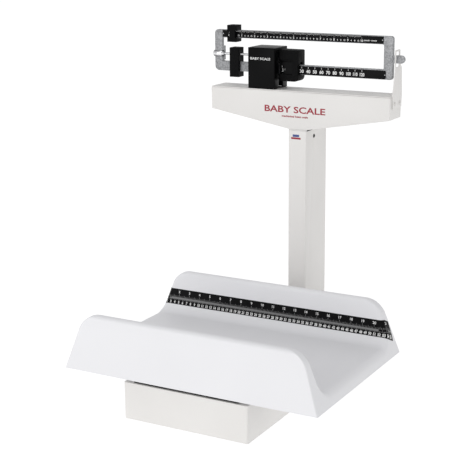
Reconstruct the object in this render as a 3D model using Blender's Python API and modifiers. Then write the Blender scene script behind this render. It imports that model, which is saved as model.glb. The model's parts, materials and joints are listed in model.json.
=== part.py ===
"""Infant beam scale: a hollow tray on a platform, a lever base, a column, and a beam with two poises.

Metres, +Z up, +X along the beam to its reading end, +Y from the tray towards the column.
The origin is on the floor, under the middle of the scale's box.
"""

import math

import bmesh
import bpy
from mathutils import Matrix, Vector

for old in list(bpy.data.objects):
    bpy.data.objects.remove(old, do_unlink=True)

GAP = 0.0003  # left between two pieces that touch

# ---- base, column and head
BASE_WIDTH = 0.270
BASE_LENGTH = 0.576
BASE_TOP = 0.0753
BASE_BOTTOM = 0.0015
BASE_WALL = 0.0015
FLOOR_PLATE = (0.0040, 0.0060)
FOOT_RADIUS = 0.011
FOOT_AT = (0.105, 0.255)
COLUMN_WIDTH = 0.042
COLUMN_DEPTH = 0.1014
COLUMN_WALL = 0.002
COLUMN_FRONT = 0.1865
COLUMN_TOP = 0.4997
HEAD_DEPTH = 0.0611
HEAD_HALF = 0.207
HEAD_TOP = 0.5829
HEAD_END_BOTTOM = 0.5345
HEAD_FLOOR = 0.5023
HEAD_WALL = 0.002
HEAD_CORNER = 0.006
COVER_X = (-0.1172, -0.0540)
COVER_TOP = 0.6695
COVER_WALL = 0.0025

# ---- tray
TRAY_Y = -0.0907
TRAY_BOTTOM = 0.0798
TRAY_TOP = 0.1915
TRAY_HALF_BOTTOM = 0.2742
TRAY_HALF_TOP = 0.2357
TRAY_CORNER = 0.030
TRAY_SKIN = 0.004
OUTER_FOOT = 0.1958
OUTER_RIM = 0.1800
INNER_RIM = 0.1635
INNER_FOOT = 0.1540
TRAY_FLOOR = 0.1035
RIM_ROUND = 0.0078
FLOOR_ROUND = 0.030
TAPE_Z = (0.1190, 0.1525)
TAPE_INSET = 0.004  # from the wall's end to the tape's

# ---- beam: everything on it is centred on one upright plane
BEAM_Y = 0.217
BEAM_DEPTH = 0.008
BEAM_X = (-0.2118, 0.2005)
BEAM_Z = (0.6140, 0.7020)
OPENING_X = (-0.1940, 0.1810)
OPENING_Z = (0.6347, 0.6850)
PIVOT_X = -0.086
PIVOT_Z = 0.648
POWER_ARM = 0.019  # from the fulcrum edge to the edge that the link hangs on
LINK_X = PIVOT_X - POWER_ARM
TONGUE_Z = 0.656
TONGUE_ROUND = 0.008
NOTCH_PITCH = 0.01516  # one notch for each step of the lower poise
SCREW_Z = 0.6503
SCREW_RADIUS = 0.0025
POISE_HALF_DEPTH = 0.0117

# ---- levers
EDGE = 0.0025  # half the diagonal of a knife bar
KNIFE_ROOM = 0.0004  # how much wider a lever's slot is than its knife bar, all round
LOOP_ROOM = 0.0005  # the same where a loop hangs on the edge
LINK_DEPTH = 0.008  # along X on the upright links, along Y on the rod's foot
ROD_RADIUS = 0.0030
ROD_HOLE = 0.008  # radius of the holes that the draft rod passes through
SEAT = 0.0004  # a V seat's depth below the edge it carries
HALF_SPAN = 0.1593  # from the tray's middle to each base fulcrum
LOAD_ARM = 0.080
LONG_SIDE = 0.1130  # how far out the long lever's stands and posts are, and the short lever's below
SHORT_SIDE = 0.0880
LONG_EDGE_Z = 0.034
SHORT_EDGE_Z = 0.017
SHELF_EDGE_Z = 0.555
SHELF_PIVOT_X = 0.040
ROD_X = 0.0

PLATFORM_Z = (0.0765, 0.0795)

PARTS = bpy.data.collections.new("infant_beam_scale")
CUTTERS = bpy.data.collections.new("cutters")
bpy.context.scene.collection.children.link(PARTS)
bpy.context.scene.collection.children.link(CUTTERS)

FINISHES = {
    "white_enamel": ((0.78, 0.76, 0.74), 0.38, 0.0),
    "white_abs": ((0.80, 0.80, 0.82), 0.42, 0.0),
    "black_crinkle": ((0.012, 0.012, 0.013), 0.62, 0.0),
    "black_plastic": ((0.010, 0.010, 0.011), 0.35, 0.0),
    "hammertone": ((0.42, 0.42, 0.43), 0.38, 0.8),
    "chrome": ((0.75, 0.75, 0.76), 0.08, 1.0),
    "steel": ((0.50, 0.50, 0.51), 0.35, 1.0),
    "cast_iron": ((0.09, 0.09, 0.095), 0.65, 0.4),
    "rubber": ((0.02, 0.02, 0.02), 0.85, 0.0),
    "printed_black": ((0.015, 0.015, 0.016), 0.30, 0.0),
}
AXIS_TURN = {
    "X": Matrix.Rotation(math.pi / 2, 4, "Y"),
    "Y": Matrix.Rotation(-math.pi / 2, 4, "X"),
    "Z": Matrix.Identity(4),
}


# ---- modelling helpers
def finish(name):
    """The named finish as a Principled material, made once."""
    found = bpy.data.materials.get(name)
    if found:
        return found
    colour, roughness, metallic = FINISHES[name]
    made = bpy.data.materials.new(name)
    made.use_nodes = True
    shader = made.node_tree.nodes["Principled BSDF"]
    shader.inputs["Base Color"].default_value = (*colour, 1.0)
    shader.inputs["Roughness"].default_value = roughness
    shader.inputs["Metallic"].default_value = metallic
    return made


def place(name, mesh, finish_name):
    """Links a mesh as a part, or as a hidden cutter where it has no finish."""
    made = bpy.data.objects.new(name, mesh)
    if finish_name:
        PARTS.objects.link(made)
        mesh.materials.clear()
        mesh.materials.append(finish(finish_name))
    else:
        CUTTERS.objects.link(made)
        made.hide_render = True
        made.display_type = "WIRE"
    return made


def to_mesh(name, shape):
    mesh = bpy.data.meshes.new(name)
    bmesh.ops.recalc_face_normals(shape, faces=shape.faces)
    if shape.calc_volume(signed=True) < 0:
        bmesh.ops.reverse_faces(shape, faces=shape.faces)
    shape.to_mesh(mesh)
    shape.free()
    return mesh


def block(name, low, high, finish_name=None, upright_round=0.0):
    """A box between two corners, with its four upright edges rounded if asked."""
    low, high = Vector(low), Vector(high)
    size = high - low
    shape = bmesh.new()
    bmesh.ops.create_cube(shape, size=1.0, matrix=Matrix.Diagonal((*size, 1.0)))
    if upright_round:
        upright = [e for e in shape.edges if abs(e.verts[0].co.z - e.verts[1].co.z) > size.z / 2]
        bmesh.ops.bevel(shape, geom=upright, offset=upright_round, segments=4, profile=0.5, affect="EDGES")
    made = place(name, to_mesh(name, shape), finish_name)
    made.location = (low + high) / 2
    return made


def rod(name, axis, centre, radius, length, finish_name=None, sides=24):
    """A cylinder along an axis; with four sides it is a bar that stands on its edge."""
    shape = bmesh.new()
    bmesh.ops.create_cone(
        shape,
        cap_ends=True,
        segments=sides,
        radius1=radius,
        radius2=radius,
        depth=length,
        matrix=AXIS_TURN[axis],
    )
    made = place(name, to_mesh(name, shape), finish_name)
    made.location = centre
    if sides > 4 and finish_name:
        made.data.shade_smooth()
        made.data.set_sharp_from_angle(angle=math.radians(40))
    return made


def knife(name, axis, edge, half_length, points_up, finish_name="steel", grow=0.0):
    """A square bar on its edge: edge is the middle of its working edge."""
    x, y, z = edge
    drop = -EDGE if points_up else EDGE
    return rod(name, axis, (x, y, z + drop), EDGE + grow, 2 * half_length, finish_name, sides=4)


def rounded(corners, radii, segments=5):
    """The corner points of a closed outline with each corner turned into an arc of its radius."""
    path = []
    count = len(corners)
    for i, (corner, radius) in enumerate(zip(corners, radii)):
        here = Vector(corner)
        before = (Vector(corners[i - 1]) - here).normalized()
        after = (Vector(corners[(i + 1) % count]) - here).normalized()
        if not radius:
            path.append(here)
            continue
        half = before.angle(after) / 2
        reach = radius / math.tan(half)
        middle = here + (before + after).normalized() * (radius / math.sin(half))
        start = here + before * reach - middle
        sweep = math.pi - 2 * half
        turn = 1 if before.x * after.y - before.y * after.x < 0 else -1
        for k in range(segments + 1):
            angle = turn * sweep * k / segments
            c, s = math.cos(angle), math.sin(angle)
            path.append(middle + Vector((start.x * c - start.y * s, start.x * s + start.y * c)))
    return path


def outline(name, loops, plane, middle, thickness, finish_name=None):
    """A flat outline, with any holes as further loops, given a thickness about its middle plane."""
    curve = bpy.data.curves.new(name, "CURVE")
    curve.dimensions = "2D"
    curve.fill_mode = "BOTH"
    curve.extrude = thickness / 2
    for points in loops:
        spline = curve.splines.new("POLY")
        spline.points.add(len(points) - 1)
        for slot, point in zip(spline.points, points):
            slot.co = (point[0], point[1], 0.0, 1.0)
        spline.use_cyclic_u = True
    flat = bpy.data.objects.new(name + "_curve", curve)
    CUTTERS.objects.link(flat)
    bpy.context.view_layer.update()
    mesh = bpy.data.meshes.new_from_object(flat.evaluated_get(bpy.context.evaluated_depsgraph_get()))
    bpy.data.objects.remove(flat, do_unlink=True)
    shape = bmesh.new()
    shape.from_mesh(mesh)
    bpy.data.meshes.remove(mesh)
    bmesh.ops.remove_doubles(shape, verts=shape.verts, dist=0.00002)
    turns = {"XY": ("x", "y", "z"), "XZ": ("x", "z", "y"), "YZ": ("y", "z", "x")}
    first, second, third = turns[plane]
    for vertex in shape.verts:
        flat_co = vertex.co.copy()
        place_at = Vector((0, 0, 0))
        setattr(place_at, first, flat_co.x)
        setattr(place_at, second, flat_co.y)
        setattr(place_at, third, flat_co.z + middle)
        vertex.co = place_at
    return place(name, to_mesh(name, shape), finish_name)


def rectangle(low, high):
    return [(low[0], low[1]), (high[0], low[1]), (high[0], high[1]), (low[0], high[1])]


def boolean(part, tool, operation):
    step = part.modifiers.new(operation.lower(), "BOOLEAN")
    step.operation = operation
    step.object = tool
    step.solver = "EXACT"
    return part


def cut(part, *tools):
    for tool in tools:
        boolean(part, tool, "DIFFERENCE")
    return part


def join(part, *tools):
    for tool in tools:
        boolean(part, tool, "UNION")
    return part


def seat(name, axis, edge, length, opens_up):
    """A cutter for the V seat under an edge that points down, or over one that points up."""
    x, y, z = edge
    size = 0.007
    shift = size - SEAT if opens_up else SEAT - size
    return rod(name, axis, (x, y, z + shift), size, length, sides=4)


# ---- base
def make_base():
    half_x, half_y = BASE_WIDTH / 2, BASE_LENGTH / 2
    housing = block(
        "base_housing", (-half_x, -half_y, BASE_BOTTOM), (half_x, half_y, BASE_TOP), "white_enamel", 0.004
    )
    inside = block(
        "base_inside",
        (-half_x + BASE_WALL, -half_y + BASE_WALL, -0.01),
        (half_x - BASE_WALL, half_y - BASE_WALL, BASE_TOP - BASE_WALL),
    )
    cut(housing, inside)
    for x, y in post_places():
        hole = block("post_hole", (x - 0.011, y - 0.011, 0.06), (x + 0.011, y + 0.011, 0.09))
        cut(housing, hole)
    socket_hole = block(
        "socket_hole", (-0.0192, COLUMN_FRONT + 0.0018, 0.06), (0.0192, COLUMN_FRONT + 0.0996, 0.09)
    )
    cut(housing, socket_hole)
    plate = block(
        "base_floor_plate",
        (-half_x + BASE_WALL + GAP, -half_y + BASE_WALL + GAP, FLOOR_PLATE[0]),
        (half_x - BASE_WALL - GAP, half_y - BASE_WALL - GAP, FLOOR_PLATE[1]),
        "steel",
    )
    feet = []
    for x_name, x in (("left", -FOOT_AT[0]), ("right", FOOT_AT[0])):
        for y_name, y in (("front", -FOOT_AT[1]), ("rear", FOOT_AT[1])):
            height = FLOOR_PLATE[0] - GAP
            foot = rod(f"foot_{y_name}_{x_name}", "Z", (x, y, height / 2), FOOT_RADIUS, height, "rubber")
            feet.append(foot)
    return [housing, plate, *feet]


def make_column():
    front, back = COLUMN_FRONT, COLUMN_FRONT + COLUMN_DEPTH
    half = COLUMN_WIDTH / 2
    tube = block(
        "column_tube",
        (-half, front, BASE_TOP + GAP),
        (half, back, COLUMN_TOP),
        "white_enamel",
        0.003,
    )
    bore = block(
        "column_bore",
        (-half + COLUMN_WALL, front + COLUMN_WALL, 0),
        (half - COLUMN_WALL, back - COLUMN_WALL, 0.6),
    )
    screw_hole = rod("column_screw_hole", "X", (half, 0.2242, 0.485), 0.0026, 0.01, sides=16)
    cut(tube, bore, screw_hole)
    cap = block(
        "column_cap",
        (-half, front, COLUMN_TOP + GAP),
        (half, back, HEAD_FLOOR - GAP),
        "white_enamel",
        0.003,
    )
    cut(cap, rod("cap_hole", "Z", (ROD_X, BEAM_Y, 0.5), ROD_HOLE, 0.02, sides=16))
    reach = COLUMN_WALL + GAP
    socket = block(
        "column_socket",
        (-half + reach, front + reach, FLOOR_PLATE[1] + GAP),
        (half - reach, back - reach, 0.135),
        "steel",
    )
    socket_bore = block(
        "socket_bore",
        (-half + reach + 0.003, front + reach + 0.003, -0.01),
        (half - reach - 0.003, back - reach - 0.003, 0.2),
    )
    nose_way = block(
        "nose_way",
        (-0.0145, front - 0.01, FLOOR_PLATE[1] - 0.01),
        (0.0145, front + 0.02, 0.055),
    )
    cut(socket, socket_bore, nose_way)
    return [tube, cap, socket]


def make_head():
    front, back = COLUMN_FRONT, COLUMN_FRONT + HEAD_DEPTH
    middle, lid_under = (front + back) / 2, HEAD_TOP - HEAD_WALL - GAP
    column_half = COLUMN_WIDTH / 2
    side = [
        (HEAD_HALF, lid_under),
        (-HEAD_HALF, lid_under),
        (-HEAD_HALF + 0.0006, HEAD_END_BOTTOM),
        (-column_half, HEAD_FLOOR),
        (column_half, HEAD_FLOOR),
        (HEAD_HALF - 0.0006, HEAD_END_BOTTOM),
    ]
    housing = outline("head_housing", [side], "XZ", middle, HEAD_DEPTH, "white_enamel")
    wall = HEAD_WALL
    hollow = [
        (HEAD_HALF - wall, HEAD_TOP + 0.01),
        (-HEAD_HALF + wall, HEAD_TOP + 0.01),
        (-HEAD_HALF + wall, HEAD_END_BOTTOM + wall),
        (-column_half, HEAD_FLOOR + wall),
        (column_half, HEAD_FLOOR + wall),
        (HEAD_HALF - wall, HEAD_END_BOTTOM + wall),
    ]
    cut(
        housing,
        outline("head_hollow", [hollow], "XZ", middle, HEAD_DEPTH - 2 * wall),
        rod("head_rod_hole", "Z", (ROD_X, BEAM_Y, HEAD_FLOOR), ROD_HOLE, 0.02, sides=16),
    )
    lid = block(
        "head_top_plate",
        (-HEAD_HALF, front, HEAD_TOP - HEAD_WALL),
        (HEAD_HALF, back, HEAD_TOP),
        "white_enamel",
        HEAD_CORNER / 2,
    )
    low, high = (LINK_X - 0.007, BEAM_Y - 0.012, 0.57), (LINK_X + 0.007, BEAM_Y + 0.012, 0.59)
    cut(lid, block("link_hole", low, high))
    return [housing, lid]


def make_fulcrum():
    """The stand that carries the beam, its two bearings, and the cover over them."""
    foot_z = HEAD_TOP + GAP
    stand = block("fulcrum_stand", (-0.0955, 0.2025, foot_z), (-0.0700, 0.2315, 0.6405), "cast_iron")
    channel = block(
        "stand_channel",
        (-0.11, BEAM_Y - 0.0075, foot_z + 0.004),
        (-0.06, BEAM_Y + 0.0075, 0.66),
    )
    cut(stand, channel)
    pieces = [stand]
    for name, y in (("front", -0.0105), ("rear", 0.0105)):
        bearing = block(
            f"fulcrum_bearing_{name}",
            (PIVOT_X - 0.006, BEAM_Y + y - 0.0025, 0.6405 + GAP),
            (PIVOT_X + 0.006, BEAM_Y + y + 0.0025, PIVOT_Z + 0.002),
            "steel",
        )
        cut(bearing, seat("bearing_seat", "Y", (PIVOT_X, BEAM_Y, PIVOT_Z), 0.04, True))
        pieces.append(bearing)
    back = COLUMN_FRONT + HEAD_DEPTH
    cover = block(
        "fulcrum_cover",
        (COVER_X[0], COLUMN_FRONT, foot_z),
        (COVER_X[1], back, COVER_TOP),
        "black_plastic",
        0.002,
    )
    wall = COVER_WALL
    inside = block(
        "cover_inside",
        (COVER_X[0] + wall, COLUMN_FRONT + wall, 0.5),
        (COVER_X[1] - wall, back - wall, COVER_TOP - wall),
    )
    left_way = block("cover_left_way", (-0.13, BEAM_Y - 0.009, 0.57), (-0.10, BEAM_Y + 0.009, 0.6640))
    right_way = block("cover_right_way", (-0.07, BEAM_Y - 0.009, 0.57), (-0.04, BEAM_Y + 0.009, 0.640))
    cut(cover, inside, left_way, right_way)
    return [*pieces, cover]


def make_trig_loop():
    """The bracket on the head's reading end, whose window stops the beam's tongue."""
    face = HEAD_HALF + GAP
    thickness = 0.0018
    plate = [
        (0.1985, 0.5560),
        (0.2440, 0.5560),
        (0.2462, 0.5840),
        (0.2425, 0.6380),
        (0.2325, 0.6480),
        (0.2325, 0.6750),
        (0.2063, 0.6750),
        (0.2063, 0.6300),
        (0.1960, 0.5840),
    ]
    window = rounded(rectangle((0.2105, 0.6406), (0.2275, 0.6714)), [0.001] * 4, 2)
    radii = [0.004, 0.004, 0.006, 0.006, 0.003, 0.003, 0.003, 0.010, 0.006]
    bracket = outline(
        "trig_loop_bracket",
        [rounded(plate, radii, 4), window],
        "YZ",
        face + thickness / 2,
        thickness,
        "white_enamel",
    )
    screws = []
    for name, y in (("front", 0.207), ("rear", 0.235)):
        head = rod(
            f"trig_loop_screw_{name}",
            "X",
            (face + thickness + GAP + 0.001, y, 0.5665),
            0.0035,
            0.002,
            "chrome",
        )
        screws.append(head)
    return [bracket, *screws]


# ---- beam
def make_beam():
    outer = rounded(
        rectangle((BEAM_X[0], BEAM_Z[0]), (BEAM_X[1], BEAM_Z[1])), [0.010, 0.005, 0.006, 0.008], 5
    )
    opening = rounded(
        rectangle((OPENING_X[0], OPENING_Z[0]), (OPENING_X[1], OPENING_Z[1])), [0.003] * 4, 3
    )
    frame = outline("beam_frame", [outer, opening], "XZ", BEAM_Y, BEAM_DEPTH, "hammertone")
    front, back = BEAM_Y - BEAM_DEPTH / 2, BEAM_Y + BEAM_DEPTH / 2
    proud = 0.0004  # a cast boss stands this far proud of the bar's faces
    web = block("pivot_web", (-0.1165, front - proud, 0.630), (-0.0780, back + proud, 0.6600))
    cradle = block(
        "knob_cradle", (BEAM_X[0] + proud, front + 0.001, 0.6360), (OPENING_X[0] - proud, 0.2290, 0.6660)
    )
    tongue_end = BEAM_X[1] + 0.0251
    tongue = outline(
        "tongue",
        [
            rounded(
                rectangle((0.190, TONGUE_Z - TONGUE_ROUND), (tongue_end, TONGUE_Z + TONGUE_ROUND)),
                [0, TONGUE_ROUND - 0.0002, TONGUE_ROUND - 0.0002, 0],
                8,
            )
        ],
        "XZ",
        BEAM_Y,
        0.005,
    )
    boss = rod("tongue_boss", "Y", (0.1925, BEAM_Y, TONGUE_Z), 0.0085, BEAM_DEPTH + 0.0016, sides=24)
    join(frame, web, cradle, tongue, boss)
    cut(
        frame,
        rod("knob_room", "X", (-0.203, BEAM_Y, SCREW_Z), 0.0073, 0.024, sides=24),
        rod("screw_way", "X", (-0.112, BEAM_Y, SCREW_Z), SCREW_RADIUS + GAP, 0.012, sides=16),
        knife("fulcrum_way", "Y", (PIVOT_X, BEAM_Y, PIVOT_Z), 0.02, False, None, KNIFE_ROOM),
        knife("power_way", "Y", (LINK_X, BEAM_Y, PIVOT_Z), 0.02, True, None, KNIFE_ROOM),
    )
    for step in range(13):
        notch = rod(
            f"notch_{step:02d}",
            "Y",
            (-0.0205 + step * NOTCH_PITCH, BEAM_Y, OPENING_Z[0] + 0.0010),
            0.0022,
            0.02,
            sides=4,
        )
        cut(frame, notch)
    for step in frame.modifiers:
        step.solver = "MANIFOLD"  # EXACT leaves slivers open where the round cuts meet the flat faces
    upper = block(
        "upper_scale_plate",
        (-0.1925, front - 0.0008 - GAP, 0.6862),
        (0.1800, front - GAP, 0.7008),
        "printed_black",
    )
    lower_shape = rounded(rectangle((-0.0530, 0.6148), (0.1865, 0.6325)), [0.0, 0.004, 0.004, 0.0], 4)
    lower = outline("lower_scale_plate", [lower_shape], "XZ", front - GAP - 0.0004, 0.0008, "printed_black")
    fulcrum_edge = knife("fulcrum_knife", "Y", (PIVOT_X, BEAM_Y, PIVOT_Z), 0.0130, False)
    power_edge = knife("power_knife", "Y", (LINK_X, BEAM_Y, PIVOT_Z), 0.0110, True)
    return [frame, upper, lower, fulcrum_edge, power_edge]


def make_zero_screw():
    """The balance screw with its turned knob, and the weight that it drives."""
    screw = rod("zero_screw", "X", (-0.1575, BEAM_Y, SCREW_Z), SCREW_RADIUS, 0.0930, "chrome", 16)
    bore = SCREW_RADIUS + GAP
    profile = [
        (0.0070, 0.0120),
        (0.0070, -0.0078),
        (0.0036, -0.0125),
        (bore, -0.0125),
        (bore, 0.0120),
    ]
    mesh = bpy.data.meshes.new("zero_knob")
    count = len(profile)
    mesh.from_pydata([(r, 0, z) for r, z in profile], [(i, (i + 1) % count) for i in range(count)], [])
    knob = place("zero_knob", mesh, "chrome")
    lying = Matrix.Rotation(-math.pi / 2, 4, "Y")
    knob.matrix_world = Matrix.Translation((-0.2035, BEAM_Y, SCREW_Z)) @ lying
    turn = knob.modifiers.new("turn", "SCREW")
    turn.axis = "Z"
    turn.steps = 32
    turn.render_steps = 32
    turn.use_merge_vertices = True
    turn.merge_threshold = 0.00001
    half = POISE_HALF_DEPTH
    weight = block(
        "balance_weight",
        (-0.1720, BEAM_Y - half, 0.6020),
        (-0.1500, BEAM_Y + half, 0.6650),
        "black_crinkle",
    )
    bar_way = block("weight_bar_way", (-0.2, BEAM_Y - 0.0046, 0.6134), (-0.12, BEAM_Y + 0.0046, 0.6353))
    thread = rod("weight_thread", "X", (-0.16, BEAM_Y, SCREW_Z), bore, 0.05, sides=16)
    cut(weight, bar_way, thread)
    return [screw, knob], [weight]


def make_upper_poise():
    half = POISE_HALF_DEPTH
    poise = block(
        "upper_poise",
        (-0.1775, BEAM_Y - half, 0.6767),
        (-0.1552, BEAM_Y + half, 0.7125),
        "black_crinkle",
    )
    bar_way = block("upper_bar_way", (-0.2, BEAM_Y - 0.0054, 0.6844), (-0.12, BEAM_Y + 0.0046, 0.7027))
    left_notch = block("left_notch", (-0.2, BEAM_Y - 0.02, 0.6878), (-0.1722, BEAM_Y, 0.6995))
    right_notch = block("right_notch", (-0.1588, BEAM_Y - 0.02, 0.6852), (-0.12, BEAM_Y, 0.7018))
    cut(poise, bar_way, left_notch, right_notch)
    return [poise]


def make_lower_poise():
    front, back = 0.2023, 0.2323
    low_x, high_x, low_z, high_z = -0.0500, -0.0055, 0.6000, 0.6655
    shape = rounded(rectangle((low_x, low_z), (high_x, high_z)), [0.003, 0.010, 0.003, 0.003], 5)
    poise = outline("lower_poise", [shape], "XZ", (front + back) / 2, back - front, "black_crinkle")
    bar_way = block("lower_bar_way", (-0.1, BEAM_Y - 0.0058, 0.6132), (0.1, BEAM_Y + 0.0046, 0.6405))
    window = block("poise_window", (-0.0485, 0.19, 0.6145), (-0.0198, BEAM_Y, 0.6400))
    recess = block("poise_recess", (-0.0487, 0.19, 0.6140), (-0.0198, front + 0.003, 0.6465))
    right_notch = block("poise_notch", (-0.0080, 0.19, 0.6140), (0.02, BEAM_Y, 0.6352))
    cut(poise, bar_way, window, recess, right_notch)
    pawl = block(
        "lower_poise_pawl",
        (-0.0225, BEAM_Y - 0.003, 0.6356),
        (-0.0185, BEAM_Y + 0.003, 0.6400),
        "steel",
    )
    return [poise, pawl]


# ---- load train
def stirrup(name, side, centre, low_z, high_z, window, outer, depth):
    """A closed loop in the upright plane across a lever: side is the plane it is drawn in."""
    middle = centre[0] if side == "YZ" else centre[1]
    across = centre[1] if side == "YZ" else centre[0]
    loops = [
        rectangle((across - outer, low_z), (across + outer, high_z)),
        rectangle((across - window, low_z + 0.004), (across + window, high_z - 0.0025)),
    ]
    return outline(name, loops, side, middle, depth)


def make_beam_link():
    x, depth = LINK_X, LINK_DEPTH
    upper = outline(
        "beam_link",
        [
            rectangle((BEAM_Y - 0.0105, 0.5970), (BEAM_Y + 0.0105, 0.6660)),
            rectangle((BEAM_Y - 0.0060, 0.6010), (BEAM_Y + 0.0060, 0.6635)),
        ],
        "YZ",
        x,
        depth,
        "steel",
    )
    lower = stirrup("link_foot", "YZ", (x, BEAM_Y), 0.5405, 0.5690, 0.0065, 0.0105, depth)
    neck = rod("link_neck", "Z", (x, BEAM_Y, 0.583), ROD_RADIUS, 0.032, sides=16)
    join(upper, lower, neck)
    cut(
        upper,
        knife("link_power_way", "Y", (x, BEAM_Y, PIVOT_Z), 0.03, True, None, LOOP_ROOM),
        knife("link_shelf_way", "Y", (x, BEAM_Y, SHELF_EDGE_Z), 0.03, False, None, LOOP_ROOM),
    )
    return [upper]


def make_shelf_lever():
    left, right = LINK_X - 0.008, SHELF_PIVOT_X + 0.008
    lever = block(
        "shelf_lever",
        (left, BEAM_Y - 0.005, 0.5480),
        (right, BEAM_Y + 0.005, 0.5620),
        "cast_iron",
    )
    places = (
        ("shelf_power_knife", LINK_X, False),
        ("shelf_load_knife", ROD_X, True),
        ("shelf_fulcrum_knife", SHELF_PIVOT_X, False),
    )
    edges = []
    for name, x, points_up in places:
        edge = (x, BEAM_Y, SHELF_EDGE_Z)
        cut(lever, knife(name + "_way", "Y", edge, 0.02, points_up, None, KNIFE_ROOM))
        edges.append(knife(name, "Y", edge, 0.0100, points_up))
    stand = block(
        "shelf_lever_stand",
        (SHELF_PIVOT_X - 0.006, BEAM_Y - 0.0120, 0.5110),
        (SHELF_PIVOT_X + 0.006, BEAM_Y + 0.0120, SHELF_EDGE_Z + 0.002),
        "cast_iron",
    )
    channel = block("shelf_channel", (0.02, BEAM_Y - 0.0062, 0.5160), (0.06, BEAM_Y + 0.0062, 0.57))
    cut(stand, channel, seat("shelf_seat", "Y", (SHELF_PIVOT_X, BEAM_Y, SHELF_EDGE_Z), 0.04, True))
    return [lever, *edges], [stand]


def make_draft_rod():
    """The rod in the column, with a stirrup at each end."""
    shaft = rod("draft_rod", "Z", (ROD_X, BEAM_Y, 0.2935), ROD_RADIUS, 0.4985, "steel", 16)
    top = stirrup("rod_top", "YZ", (ROD_X, BEAM_Y), 0.5405, 0.5690, 0.0065, 0.0105, LINK_DEPTH)
    foot = outline(
        "rod_foot",
        [
            rectangle((ROD_X - 0.0125, 0.0225), (ROD_X + 0.0125, 0.0500)),
            rectangle((ROD_X - 0.0085, 0.0265), (ROD_X + 0.0085, 0.0450)),
        ],
        "XZ",
        BEAM_Y,
        LINK_DEPTH,
    )
    join(shaft, top, foot)
    cut(
        shaft,
        knife("rod_top_way", "Y", (ROD_X, BEAM_Y, SHELF_EDGE_Z), 0.03, True, None, LOOP_ROOM),
        knife("rod_foot_way", "X", (ROD_X, BEAM_Y, LONG_EDGE_Z), 0.03, False, None, LOOP_ROOM),
    )
    return [shaft]


def make_long_lever():
    front = TRAY_Y - HALF_SPAN
    right = [
        (0.0930, front - 0.010),
        (0.1070, front - 0.010),
        (0.1070, front + 0.092),
        (0.0075, TRAY_Y - 0.012),
        (0.0075, BEAM_Y + 0.008),
    ]
    outer = right + [(-x, y) for x, y in reversed(right)]
    notch = [(0.0930, front + 0.088), (0.0, TRAY_Y - 0.034), (-0.0930, front + 0.088)]
    shape = outer + notch[::-1]
    lever = outline("long_lever", [shape], "XY", 0.035, 0.013, "cast_iron")
    places = (
        ("long_fulcrum_knife", front, 0.1180, False),
        ("long_load_knife", front + LOAD_ARM, 0.1180, True),
        ("long_middle_knife", TRAY_Y, 0.0105, True),
        ("long_nose_knife", BEAM_Y, 0.0115, False),
    )
    edges = []
    for name, y, half_length, points_up in places:
        edge = (0.0, y, LONG_EDGE_Z)
        cut(lever, knife(name + "_way", "X", edge, 0.13, points_up, None, KNIFE_ROOM))
        edges.append(knife(name, "X", edge, half_length, points_up))
    return [lever, *edges]


def make_short_lever():
    rear = TRAY_Y + HALF_SPAN
    right = [
        (0.0080, TRAY_Y - 0.008),
        (0.0080, TRAY_Y + 0.010),
        (0.0820, rear - 0.110),
        (0.0820, rear + 0.010),
        (0.0680, rear + 0.010),
        (0.0680, rear - 0.100),
        (0.0, TRAY_Y + 0.022),
    ]
    shape = right + [(-x, y) for x, y in reversed(right[:-1])]
    lever = outline("short_lever", [shape], "XY", 0.018, 0.010, "cast_iron")
    places = (
        ("short_fulcrum_knife", rear, 0.0930, False),
        ("short_load_knife", rear - LOAD_ARM, 0.0930, True),
        ("short_nose_knife", TRAY_Y, 0.0115, False),
    )
    edges = []
    for name, y, half_length, points_up in places:
        edge = (0.0, y, SHORT_EDGE_Z)
        cut(lever, knife(name + "_way", "X", edge, 0.13, points_up, None, KNIFE_ROOM))
        edges.append(knife(name, "X", edge, half_length, points_up))
    return [lever, *edges]


def make_nose_link():
    """The loop that hangs the short lever's nose from the middle of the long lever."""
    loop = outline(
        "nose_link",
        [
            rectangle((-0.0125, 0.0085), (0.0125, 0.0465)),
            rectangle((-0.0090, 0.0115), (0.0090, 0.0435)),
        ],
        "XZ",
        TRAY_Y,
        0.008,
        "steel",
    )
    cut(
        loop,
        knife("nose_upper_way", "X", (0, TRAY_Y, LONG_EDGE_Z), 0.03, True, None, LOOP_ROOM),
        knife("nose_lower_way", "X", (0, TRAY_Y, SHORT_EDGE_Z), 0.03, False, None, LOOP_ROOM),
    )
    return [loop]


def post_places():
    """Where the platform's posts stand on the load edges of the two base levers."""
    front, rear = TRAY_Y - HALF_SPAN + LOAD_ARM, TRAY_Y + HALF_SPAN - LOAD_ARM
    return [(-LONG_SIDE, front), (LONG_SIDE, front), (-SHORT_SIDE, rear), (SHORT_SIDE, rear)]


def make_lever_stands():
    stands = []
    for name, x, y, edge_z in (
        ("long_lever_stand_left", -LONG_SIDE, TRAY_Y - HALF_SPAN, LONG_EDGE_Z),
        ("long_lever_stand_right", LONG_SIDE, TRAY_Y - HALF_SPAN, LONG_EDGE_Z),
        ("short_lever_stand_left", -SHORT_SIDE, TRAY_Y + HALF_SPAN, SHORT_EDGE_Z),
        ("short_lever_stand_right", SHORT_SIDE, TRAY_Y + HALF_SPAN, SHORT_EDGE_Z),
    ):
        stand = block(
            name,
            (x - 0.0045, y - 0.010, FLOOR_PLATE[1] + GAP),
            (x + 0.0045, y + 0.010, edge_z + 0.002),
            "cast_iron",
        )
        cut(stand, seat(name + "_seat", "X", (x, y, edge_z), 0.03, True))
        stands.append(stand)
    return stands


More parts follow.
